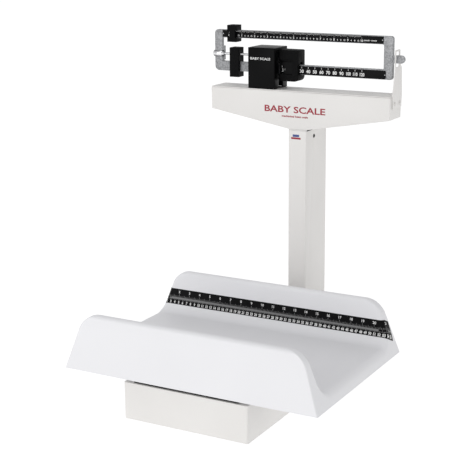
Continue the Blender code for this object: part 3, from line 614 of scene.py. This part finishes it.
# %% Turned shapes, and the feet
def turned(name, profile, centre, axis, sides=32):
    """A solid of revolution. profile is (radius, place along the axis) from one end to the other."""
    across = {"X": (1, 2, 0), "Y": (2, 0, 1), "Z": (0, 1, 2)}[axis]
    shape = bmesh.new()
    rings = []
    for radius, along_axis in profile:
        ring = []
        for k in range(sides if radius > 0 else 1):
            angle = 2 * math.pi * k / sides
            spot = [0.0, 0.0, 0.0]
            spot[across[0]] = radius * math.cos(angle)
            spot[across[1]] = radius * math.sin(angle)
            spot[across[2]] = along_axis
            ring.append(shape.verts.new(Vector(spot) + Vector(centre)))
        rings.append(ring)
    for lower, upper in zip(rings, rings[1:]):
        for k in range(sides):
            n = (k + 1) % sides
            if len(lower) == 1:
                shape.faces.new((lower[0], upper[n], upper[k]))
            elif len(upper) == 1:
                shape.faces.new((lower[k], lower[n], upper[0]))
            else:
                shape.faces.new((lower[k], lower[n], upper[n], upper[k]))
    return loose(name, outward(shape))


FOOT_RADIUS = 0.011
FOOT_HEIGHT = 0.0037
for node in sorted(name for name in nodes if name.startswith("foot_")):
    low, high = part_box(node)
    middle_x, middle_y = (low.x + high.x) / 2, (low.y + high.y) / 2
    foot_profile = [
        (0.0, 0.0),
        (FOOT_RADIUS - 0.0022, 0.0),
        (FOOT_RADIUS - 0.0009, 0.0003),
        (FOOT_RADIUS - 0.0002, 0.0011),
        (FOOT_RADIUS, 0.0018),
        (FOOT_RADIUS, FOOT_HEIGHT - 0.0004),
        (FOOT_RADIUS - 0.0004, FOOT_HEIGHT),
        (0.0, FOOT_HEIGHT),
    ]
    foot = turned(node + "_pad", foot_profile, (middle_x, middle_y, 0.0), "Z")
    keep(foot, "foot_rubber", "stand", [node])
print("feet turned:", len(foot_profile), "rings each")

# %% [markdown]
# ## Tray
# The tray is one blow-moulded shell: two leaning walls with full-round rims and a flat floor. Its
# ends lean outward too. All its edges are soft, and the floor rolls over into the ends. We draw
# the cross-section once, then move each of its points in through a quarter circle at each end.
# The roll is tight outside and wide along the inner walls and the floor.

# %% Tray sizes
TRAY_Y = -0.0907
TRAY_BOTTOM, TRAY_TOP = 0.0798, 0.1915
TRAY_HALF_BOTTOM, TRAY_HALF_TOP = 0.2742, 0.2357
TRAY_CORNER = 0.030
TRAY_SKIN = 0.004
OUTER_FOOT, OUTER_RIM = 0.1958, 0.1800
INNER_RIM, INNER_FOOT = 0.1635, 0.1540
TRAY_FLOOR = 0.1035
RIM_ROUND, FLOOR_ROUND = 0.0078, 0.030
WALL_ROLL = 0.009  # the roll where the inner walls meet the ends
FLOOR_ROLL = 0.012  # the same along the floor
OUTER_ROLL = 0.0028  # the same on the outside, where the mould closes
RIM_ROLL = RIM_ROUND * 0.86  # the same where the rim meets the inner wall
ROLL_GROWTH = 0.0006  # how fast the roll widens from one point of the section to the next
OUTER_STEPS, RIM_STEPS, INNER_STEPS, FLOOR_STEPS = 24, 8, 12, 12
END_BANDS = 26


# %% Tray cross-section and leaning ends
def fillet(before, corner, after, radius, steps):
    """The arc that rounds a corner between two straight lines."""
    to_before, to_after = (before - corner).normalized(), (after - corner).normalized()
    half = to_before.angle(to_after) / 2
    centre = corner + (to_before + to_after).normalized() * (radius / math.sin(half))
    start = corner + to_before * (radius / math.tan(half)) - centre
    end = corner + to_after * (radius / math.tan(half)) - centre
    sweep = math.atan2(start.x * end.y - start.y * end.x, start.dot(end))
    first = math.atan2(start.y, start.x)
    angles = [first + sweep * k / steps for k in range(steps + 1)]
    return [centre + radius * Vector((math.cos(a), math.sin(a))) for a in angles]


def straight(start, end, steps):
    """The points between two ends, neither of them included."""
    return [start.lerp(end, k / steps) for k in range(1, steps)]


def tray_section(inset, bottom):
    """The closed cross-section as (y, z), moved inward by inset. Always the same number of points."""
    foot = Vector((OUTER_FOOT - inset, bottom))
    outer = Vector((OUTER_RIM - inset, TRAY_TOP - inset))
    inner = Vector((INNER_RIM + inset, TRAY_TOP - inset))
    corner = Vector((INNER_FOOT + inset, TRAY_FLOOR - inset))
    centre = Vector((0.0, TRAY_FLOOR - inset))
    rim = RIM_ROUND - inset
    outer_arc = fillet(foot, outer, inner, rim, RIM_STEPS)
    inner_arc = fillet(outer, inner, corner, rim, RIM_STEPS)
    floor_arc = fillet(inner, corner, centre, FLOOR_ROUND + inset, FLOOR_STEPS)
    half = [foot, *straight(foot, outer_arc[0], OUTER_STEPS), *outer_arc, *inner_arc]
    half += [*straight(inner_arc[-1], floor_arc[0], INNER_STEPS), *floor_arc]
    half += straight(floor_arc[-1], centre, 6)
    mirrored = [Vector((-p.x, p.y)) for p in reversed(half)]
    return [Vector((p.x + TRAY_Y, p.y)) for p in [*half, centre, *mirrored]]


def tray_end(z, inset=0.0):
    """How far the tray reaches along X at a height: the ends lean, and their upper corners are round."""
    share = (z - TRAY_BOTTOM) / (TRAY_TOP - TRAY_BOTTOM)
    reach = TRAY_HALF_BOTTOM + (TRAY_HALF_TOP - TRAY_HALF_BOTTOM) * share - inset
    above = min(max(z - (TRAY_TOP - TRAY_CORNER), 0.0), TRAY_CORNER)
    return reach - TRAY_CORNER + math.sqrt(TRAY_CORNER**2 - above**2)


def end_rolls(count):
    """The radius of the end roll at each point of half the section, from outer foot to floor middle."""
    rims = 2 * (RIM_STEPS + 1)
    radii = [OUTER_ROLL] * OUTER_STEPS
    radii += [OUTER_ROLL + (RIM_ROLL - OUTER_ROLL) * k / (rims - 1) for k in range(rims)]
    radii += [min(WALL_ROLL, RIM_ROLL + ROLL_GROWTH * k) for k in range(INNER_STEPS - 1)]
    radii += [max(WALL_ROLL, WALL_ROLL + ROLL_GROWTH * (k - 7)) for k in range(FLOOR_STEPS + 1)]
    return radii + [FLOOR_ROLL] * (count - len(radii))


def tray_body(name, inset, end_inset, bottom, steps):
    """The section swept from end to end. With steps, each point moves in through a quarter circle."""
    section = tray_section(inset, bottom)
    count = len(section)
    half = end_rolls((count + 1) // 2)
    radii = half + list(reversed(half[: count // 2]))
    inward = []
    for k, point in enumerate(section):
        before = section[k - 1] if k > 0 else point
        after = section[k + 1] if k < count - 1 else point
        along = (after - before).normalized()
        inward.append(Vector((-along.y, along.x)))
    turns = [math.pi / 2 * k / steps for k in range(steps + 1)] if steps else [0.0]
    stations = [(-1, a) for a in reversed(turns)] + [(1, a) for a in turns]
    shape = bmesh.new()
    rings = []
    for side, angle in stations:
        ring = []
        for point, direction, radius in zip(section, inward, radii):
            radius = radius if steps else 0.0
            moved = point + direction * (radius * (1 - math.cos(angle)))
            z = max(moved.y, bottom)
            x = side * tray_end(z, end_inset + radius * (1 - math.sin(angle)))
            ring.append(shape.verts.new((x, moved.x, z)))
        rings.append(ring)
    for left, right in zip(rings, rings[1:]):
        for k in range(count):
            n = (k + 1) % count
            shape.faces.new((left[k], left[n], right[n], right[k]))
    shape.faces.new(rings[0])
    shape.faces.new(list(reversed(rings[-1])))
    for k in range(END_BANDS):  # the end faces curve near the top, so they are cut into narrow bands
        height = TRAY_TOP - inset - TRAY_CORNER + TRAY_CORNER * (k + 0.5) / END_BANDS
        everything = [*shape.verts, *shape.edges, *shape.faces]
        level = {"plane_co": (0, 0, height), "plane_no": (0, 0, 1)}
        bmesh.ops.bisect_plane(shape, geom=everything, dist=1e-7, **level)
    return loose(name, outward(shape))


# %% Tray shell
tray = tray_body("tray_shell", 0.0, 0.0, TRAY_BOTTOM, 8)
hollow = tray_body("tray_hollow", TRAY_SKIN, TRAY_SKIN + FLOOR_ROLL, TRAY_BOTTOM - 0.02, 0)
emptying = tray.modifiers.new("emptying", "BOOLEAN")
emptying.operation = "DIFFERENCE"
emptying.object = hollow
emptying.solver = "EXACT"
settle(tray)
bpy.data.objects.remove(hollow, do_unlink=True)
keep(tray, "tray_plastic", "platform", ["tray"], smooth=32)
print("tray:", len(tray.data.polygons), "faces, half-length at the rim", round(tray_end(TRAY_TOP), 4))

# %% [markdown]
# ## Measuring tape
# A black adhesive tape runs along the rear wall: inches on top, centimetres below, with a grey
# line between them. It is longer than the wall, so its right end is folded over the wall's end.
# We draw it flat, with X counted from the tape's zero and Y down from its top edge, and bend it.

# %% The wall that the tape follows
TAPE_LOW, TAPE_HIGH = 0.1190, 0.1525
TAPE_ZERO_X = -0.2755
FOLD_WAY = Vector((0.894, -0.447))  # how the folded end runs over the wall's end, as (y, z)
TAPE_ROWS = 24
TAPE_OVERHANG = 0.0020  # how far the left end reaches past the wall
TAPE_RIGHT, TAPE_SLANT = 0.5442, 0.0156  # the right end from zero, and how much longer it is below
INNER_FACE = (0.12, 0.168)  # where the rear wall's inner face lies, from the tray's middle


def wall_at(z):
    """The rear wall's inner face at a height."""
    section = tray_section(0.0, TRAY_BOTTOM)
    for one, two in zip(section, section[1:]):
        lies_between = min(one.y, two.y) <= z <= max(one.y, two.y) and abs(one.y - two.y) > 1e-9
        if lies_between and INNER_FACE[0] < one.x - TRAY_Y < INNER_FACE[1]:
            return one.x + (two.x - one.x) * (z - one.y) / (two.y - one.y)
    raise ValueError("no wall at that height")


wall_heights = [TAPE_HIGH + (TAPE_LOW - TAPE_HIGH) * k / TAPE_ROWS for k in range(TAPE_ROWS + 1)]
wall_path = [Vector((wall_at(z), z)) for z in wall_heights]
path_lengths = [0.0]
for one, two in zip(wall_path, wall_path[1:]):
    path_lengths.append(path_lengths[-1] + (two - one).length)
TAPE_HEIGHT = path_lengths[-1]


def tape_row(down):
    """The wall's point and its inward normal, as (y, z), a distance down from the tape's top edge."""
    down = min(max(down, 0.0), TAPE_HEIGHT)
    for k in range(TAPE_ROWS):
        if down <= path_lengths[k + 1] + 1e-9:
            break
    share = (down - path_lengths[k]) / (path_lengths[k + 1] - path_lengths[k])
    run = (wall_path[k + 1] - wall_path[k]).normalized()
    return wall_path[k].lerp(wall_path[k + 1], share), Vector((-abs(run.y), -run.x)).normalized()


def on_tape(lift):
    """A function that bends the flat tape onto the wall and round its ends, lift above the surface."""

    def bend(from_zero, up):
        point, normal = tape_row(-up)
        x = from_zero + TAPE_ZERO_X
        side = math.copysign(1.0, x)
        corner = tray_end(point.y) - WALL_ROLL
        past = (abs(x) - corner) / WALL_ROLL
        if past <= 0:
            spot = point + normal * lift
            return Vector((x, spot.x, spot.y))
        if past <= math.pi / 2:
            spot = point - normal * (WALL_ROLL - (WALL_ROLL + lift) * math.cos(past))
            reach = tray_end(spot.y) - WALL_ROLL + (WALL_ROLL + lift) * math.sin(past)
            return Vector((side * reach, spot.x, spot.y))
        spot = point - normal * WALL_ROLL + FOLD_WAY * (WALL_ROLL * (past - math.pi / 2))
        return Vector((side * (tray_end(spot.y) + lift), spot.x, spot.y))

    return bend


def tape_ends(up):
    """Where the tape begins and ends in a row, counted from its zero."""
    share = min(max(-up / TAPE_HEIGHT, 0.0), 1.0)
    z = TAPE_HIGH + (TAPE_LOW - TAPE_HIGH) * share
    return -tray_end(z) - TAPE_OVERHANG - TAPE_ZERO_X, TAPE_RIGHT + TAPE_SLANT * share


print("tape height", round(TAPE_HEIGHT, 4), "ends", [round(v, 3) for v in tape_ends(0)])

# %% Tape strip
TAPE_THICK = 0.0005
# The columns are closer together near both ends, where the tape bends.
columns = [0.05 * k / 14 for k in range(14)] + [0.05 + 0.85 * k / 16 for k in range(16)]
columns += [0.9 + 0.1 * k / 30 for k in range(31)]
shape = bmesh.new()
layers = []
for lift in (0.00005, TAPE_THICK):
    bend = on_tape(lift)
    grid = []
    for down in path_lengths:
        left, right = tape_ends(-down)
        grid.append([shape.verts.new(bend(left + (right - left) * c, -down)) for c in columns])
    layers.append(grid)
back, front = layers
rows, width = len(back), len(columns)
for r in range(rows - 1):
    for c in range(width - 1):
        shape.faces.new((front[r][c], front[r + 1][c], front[r + 1][c + 1], front[r][c + 1]))
        shape.faces.new((back[r][c], back[r][c + 1], back[r + 1][c + 1], back[r + 1][c]))
border = [(0, c) for c in range(width)] + [(r, width - 1) for r in range(1, rows)]
border += [(rows - 1, c) for c in range(width - 2, -1, -1)] + [(r, 0) for r in range(rows - 2, 0, -1)]
for (r0, c0), (r1, c1) in zip(border, border[1:] + border[:1]):
    shape.faces.new((back[r0][c0], front[r0][c0], front[r1][c1], back[r1][c1]))
tape = loose("tape_strip", outward(shape))
strip = keep(tape, "printed_plate", "platform", ["measuring_tape"])
print("strip:", len(strip.data.polygons), "faces")

# %% Tape numerals and ticks
INCH = 0.0254
CENTIMETRE = 0.01
H = TAPE_HEIGHT
LABELS_LIFT, LINE_LIFT = TAPE_THICK + 0.00012, TAPE_THICK + 0.00008
marks = Print()
for number in range(1, 22):
    marks.words(str(number), number * INCH, -0.20 * H, 0.0054, 0.00018)
for number in range(2, 56):
    marks.words(str(number), number * CENTIMETRE, -0.875 * H, 0.0057, 0.00032, 0.84)
combs = Print()
for count, pitch, low, high, width in (
    (23, INCH, 0.54, 0.34, 0.0011),
    (45, INCH / 2, 0.54, 0.40, 0.0010),
    (177, INCH / 8, 0.54, 0.44, 0.0009),
    (56, CENTIMETRE, 0.76, 0.66, 0.0009),
    (559, CENTIMETRE / 10, 0.71, 0.66, 0.0004),
):
    combs.ticks(count, 0.0, pitch, -low * H, -high * H, width)


def inside_tape(x, y):
    left, right = tape_ends(y)
    return left + 0.0012 < x < right - 0.0012


marks.trim(inside_tape)
tape_marks = marks.on("tape_marks", on_tape(LABELS_LIFT), "white_ink", "platform")
combs.trim(inside_tape)
combs.on("tape_combs", on_tape(LABELS_LIFT), "grey_ink", "platform")

line_print = Print()
LINE_STEPS = 60
for k in range(LINE_STEPS):
    left, right = tape_ends(-0.6 * H)
    x0, x1 = (left + 0.0006 + (right - left - 0.0012) * step / LINE_STEPS for step in (k, k + 1))
    line_print.bar(x0, -0.655 * H, x1, -0.545 * H)
line_print.on("tape_line", on_tape(LINE_LIFT), "grey_ink", "platform")
print("tape marks:", len(tape_marks.data.polygons), "faces")

# %% [markdown]
# ## Fulcrum cover
# The black cover over the pivot is moulded, with clearly rounded edges and a lid-like top. Its
# front carries only a small plain word in white.

# %% Cover
cover = soften("fulcrum_cover", 0.0014, 4)
COVER_FACE = 0.1865
cover_print = Print()
cover_print.words("BABY SCALE", -0.0876, 0.6462, 0.0050, 0.0001, 1.26)
cover_print.on("cover_word", facing_front(COVER_FACE - 0.0001), "white_ink", "stand")
print("cover:", len(cover.data.polygons), "faces")

# %% [markdown]
# ## Beam
# The beam is a die casting: a long frame with an open middle, a tongue at the reading end, and a
# row of notches that the heavy poise drops into. Silver hammer paint covers it. Two thin black
# plates carry the scales, and each is held by small rivets.

# %% Frame
beam_frame = soften("beam_frame", 0.0006, 2)
for node in ("upper_scale_plate", "lower_scale_plate"):
    soften(node, 0.00015, 2)
print("beam frame:", len(beam_frame.data.polygons), "faces")

# %% Scale numerals
PLATE_FRONT = 0.2119
UPPER_ZERO_X = -0.1760
POUND = 0.03084
LOWER_ZERO_X = -0.0480
TEN_POUNDS = 0.01516
INK_LIFT = 0.00008

upper = Print()
upper.ticks(161, UPPER_ZERO_X, POUND / 16, 0.6982, 0.7003, 0.00045)
upper.ticks(21, UPPER_ZERO_X, POUND / 2, 0.6968, 0.7003, 0.00060)
upper.ticks(11, UPPER_ZERO_X, POUND, 0.6952, 0.7003, 0.00060)
for number in range(11):
    upper.words(str(number), UPPER_ZERO_X + number * POUND, 0.6905, 0.0046, 0.00014)
upper.words("pounds - ounces", UPPER_ZERO_X + 10.62 * POUND, 0.6918, 0.0030, 0.0001)
for number in range(10):
    for quarter, ounces in ((0.25, "4"), (0.5, "8"), (0.75, "12")):
        upper.words(ounces, UPPER_ZERO_X + (number + quarter) * POUND, 0.6903, 0.0031, 0.0001)
upper.on("upper_numerals", facing_front(PLATE_FRONT - INK_LIFT), "white_ink", "beam")

lower = Print()
lower.ticks(13, LOWER_ZERO_X, TEN_POUNDS, 0.6275, 0.6312, 0.0008)
for number in range(13):
    stretch = 0.98 if number < 10 else 0.80
    x = LOWER_ZERO_X + number * TEN_POUNDS
    lower.words(str(10 * number), x, 0.6215, 0.0068, 0.0003, stretch)
lower.on("lower_numerals", facing_front(PLATE_FRONT - INK_LIFT), "white_ink", "beam")
print("numerals on both plates")


# %% Rivets and screws
def fastener(name, profile, slotted):
    """A small head that points to -Y, with a slot if asked, used as a template only."""
    head = turned(name, profile, (0, 0, 0), "Y", 20)
    if slotted:
        cutter = bmesh.new()
        size = Matrix.Diagonal((0.0007, 0.0016, 0.02, 1.0))
        bmesh.ops.create_cube(cutter, size=1.0, matrix=Matrix.Translation((0, -0.0020, 0)) @ size)
        blade = loose("slot_blade", cutter)
        step = head.modifiers.new("slot", "BOOLEAN")
        step.operation = "DIFFERENCE"
        step.object = blade
        step.solver = "EXACT"
        settle(head)
        bpy.data.objects.remove(blade, do_unlink=True)
    return head


def set_copies(name, head, spots, finish, body):
    """Copies of a template at a list of places, as one kept piece."""
    points = bpy.data.meshes.new(name)
    points.from_pydata(spots, [], [])
    values = {"Template": head, "Material": made_finishes[finish]}
    mesh = run_tree(name, copy_tree, points, values)
    piece = bpy.data.objects.new(name, mesh)
    bpy.context.scene.collection.objects.link(piece)
    return keep(piece, finish, body)


RIVET_PROFILE = [(0.0, -0.0007), (0.0007, -0.0006), (0.0012, -0.0002), (0.0013, 0.0), (0.0, 0.0001)]
rivet_head = fastener("rivet_template", RIVET_PROFILE, False)
plate_rivets = [(x, PLATE_FRONT, 0.6935) for x in (-0.1905, 0.1780)] + [(0.1845, PLATE_FRONT, 0.6235)]
set_copies("plate_rivets", rivet_head, plate_rivets, "zinc_plate", "beam")
print("rivets:", len(plate_rivets))
bpy.data.objects.remove(rivet_head, do_unlink=True)

# %% [markdown]
# ## Poises and balance weight
# All three sliding weights are black castings, so their edges are blunt. The heavy poise has a
# window, so its flat triangles are not merged before its edges are rounded.

# %% Sliding weights
for node, radius in (("upper_poise", 0.0008), ("lower_poise", 0.0006), ("balance_weight", 0.0009)):
    softened = soften(node, radius, 3, merge=node != "lower_poise")
    print(softened.name, len(softened.data.polygons), "faces")

# %% [markdown]
# Behind the heavy poise's window lies a thin black mask that leaves one corner open, so that only
# the numeral in force is read. A few fine grey ticks are printed on it.

# %% Mask in the poise's window
MASK_FRONT, MASK_BACK = 0.2075, 0.2100
outline = [(-0.0430, 0.6141), (-0.0195, 0.6141), (-0.0195, 0.6404), (-0.0488, 0.6404)]
outline += [(-0.0488, 0.6322), (-0.0430, 0.6322)]
shape = bmesh.new()
faces = [shape.faces.new([shape.verts.new((x, y, z)) for x, z in outline]) for y in (MASK_FRONT, MASK_BACK)]
for k in range(len(outline)):
    n = (k + 1) % len(outline)
    front, back = faces[0].verts, faces[1].verts
    shape.faces.new((front[k], back[k], back[n], front[n]))
mask = loose("poise_mask", outward(shape))
blunt = mask.modifiers.new("blunt", "BEVEL")
blunt.width = 0.0003
blunt.segments = 2
settle(mask)
keep(mask, "cover_plastic", "lower_poise", smooth=0)
fine = Print()
fine.ticks(3, -0.0412, 0.0013, 0.6225, 0.6262, 0.0005)
fine.on("poise_ticks", facing_front(MASK_FRONT - 0.0001), "grey_ink", "lower_poise")
print("mask:", len(mask.data.polygons), "faces")

# %% [markdown]
# ## Zero screw
# The screw has a fine thread with a two-millimetre lead, and the knob is a turned drum with a
# coned hub. The thread is cut as a helix: the radius follows a saw-tooth of
# the place along the screw less the turn.

# %% Threaded screw
SCREW_Z, BEAM_Y = 0.6503, 0.217
SCREW_RADIUS = 0.0025
SCREW_X = (-0.2040, -0.1110)
THREAD_LEAD = 0.002
THREAD_DEPTH = 0.0004
THREAD_SIDES = 20
ROWS_A_TURN = 8

shape = bmesh.new()
count = round((SCREW_X[1] - SCREW_X[0]) / THREAD_LEAD * ROWS_A_TURN)
rings = []
for row in range(count + 1):
    x = SCREW_X[0] + (SCREW_X[1] - SCREW_X[0]) * row / count
    ring = []
    for k in range(THREAD_SIDES):
        turn = (x / THREAD_LEAD - k / THREAD_SIDES) % 1.0
        radius = SCREW_RADIUS - THREAD_DEPTH * abs(2 * turn - 1)
        angle = 2 * math.pi * k / THREAD_SIDES
        across, up = radius * math.cos(angle), radius * math.sin(angle)
        ring.append(shape.verts.new((x, BEAM_Y + across, SCREW_Z + up)))
    rings.append(ring)
for one, two in zip(rings, rings[1:]):
    for k in range(THREAD_SIDES):
        n = (k + 1) % THREAD_SIDES
        shape.faces.new((one[k], one[n], two[n], two[k]))
shape.faces.new(rings[0])
shape.faces.new(rings[-1])
thread = loose("zero_screw_thread", outward(shape))
screw = keep(thread, "chrome", "zero_adjuster", ["zero_screw"], smooth=50)
print("thread:", len(screw.data.polygons), "faces")

# %% Knob
KNOB_X = -0.2035
KNOB_RADIUS = 0.0070
knob_profile = [
    (SCREW_RADIUS + 0.0003, -0.0120),
    (KNOB_RADIUS - 0.0016, -0.0120),
    (KNOB_RADIUS - 0.0005, -0.0116),
    (KNOB_RADIUS, -0.0105),
    (KNOB_RADIUS, 0.0066),
    (KNOB_RADIUS - 0.0004, 0.0076),
    (0.0040, 0.0120),
    (0.0036, 0.0125),
    (SCREW_RADIUS + 0.0003, 0.0125),
    (SCREW_RADIUS + 0.0003, -0.0120),
]
knob = turned("zero_knob_drum", knob_profile, (KNOB_X, BEAM_Y, SCREW_Z), "X", 48)
joined = bmesh.new()
joined.from_mesh(knob.data)
bmesh.ops.remove_doubles(joined, verts=joined.verts, dist=0.000001)
joined.to_mesh(knob.data)
joined.free()
keep(knob, "chrome", "zero_adjuster", ["zero_knob"], smooth=40)
print("knob:", len(knob.data.polygons), "faces")

# %% [markdown]
# ## Stop loop
# Two slotted screws, painted with the head, hold the stop loop to it. On the column's right side
# a small black plug closes a hole, and a thin black strip just under the head is painted shade
# where the head overhangs the column.

# %% Loop screws, plug and painted shade strip
screw_profile = [
    (0.0, -0.0020),
    (0.0020, -0.0020),
    (0.0030, -0.0015),
    (0.0034, -0.0007),
    (0.0035, 0.0),
    (0.0, 0.0),
]
for node in ("trig_loop_screw_front", "trig_loop_screw_rear"):
    low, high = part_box(node)
    head = fastener(node + "_head", screw_profile, True)
    turn_to_x = Matrix.Rotation(math.pi / 2, 4, "Z")
    slant = Matrix.Rotation(math.radians(25), 4, "X")
    place = Matrix.Translation((low.x, (low.y + high.y) / 2, (low.z + high.z) / 2))
    head.data.transform(place @ slant @ turn_to_x)
    keep(head, "powder_coat", "stand", [node])

COLUMN_SIDE = 0.021
plug_profile = [
    (0.0, 0.0002),
    (0.0024, 0.0002),
    (0.0027, 0.0006),
    (0.0036, 0.0006),
    (0.0042, 0.0001),
    (0.0, 0.0),
]
plug = turned("column_plug", plug_profile, (COLUMN_SIDE + 0.0001, 0.2242, 0.485), "X", 24)
keep(plug, "cover_plastic", "stand")
# A thin black strip on the column's right side, just under the head: painted shade.
painted_shade_strip = Print()
painted_shade_strip.bar(0.1895, 0.4990, 0.2870, 0.5018)
painted_shade_strip.on("column_seam", lambda x, y: Vector((COLUMN_SIDE + 0.0002, x, y)), "printed_plate", "stand")
print("loop screws, plug and seam")

# %% [markdown]
# ## Lettering on the head
# Plain words in red mark the head's front. A small badge of two bars sits on the column below.

# %% Head lettering and column badge
HEAD_FACE = 0.1865
letters = Print()
letters.words("BABY SCALE", -0.0070, 0.5425, 0.0134, 0.0004, 1.40)
letters.words("mechanical beam scale", -0.0060, 0.5290, 0.0042, 0.0002, 1.15)
letters.on("head_word", facing_front(HEAD_FACE - 0.0001), "red_ink", "stand")

badge = Print()
badge.bar(-0.0140, 0.4812, 0.0080, 0.4852)
badge.on("badge_bar", facing_front(HEAD_FACE - 0.0001), "red_ink", "stand")
badge = Print()
badge.bar(-0.0105, 0.4862, 0.0045, 0.4912)
badge.on("badge_field", facing_front(HEAD_FACE - 0.0001), "blue_ink", "stand")
print("lettering printed")

# %% [markdown]
# ## Works inside
# The levers, links, stands and the draft rod are only seen from below or with the covers off, but
# they get blunt edges too, as castings and ground bars have.

# %% Levers, links and stands
INNER_RADII = {
    "column_socket": 0.0004,
    "fulcrum_stand": 0.0008,
    "beam_link": 0.0004,
    "shelf_lever": 0.0010,
    "shelf_lever_stand": 0.0008,
    "draft_rod": 0.0003,
    "long_lever": 0.0012,
    "short_lever": 0.0012,
    "nose_link": 0.0004,
}
for node, radius in INNER_RADII.items():
    soften(node, radius, 2)
print("softened inside:", len(INNER_RADII))
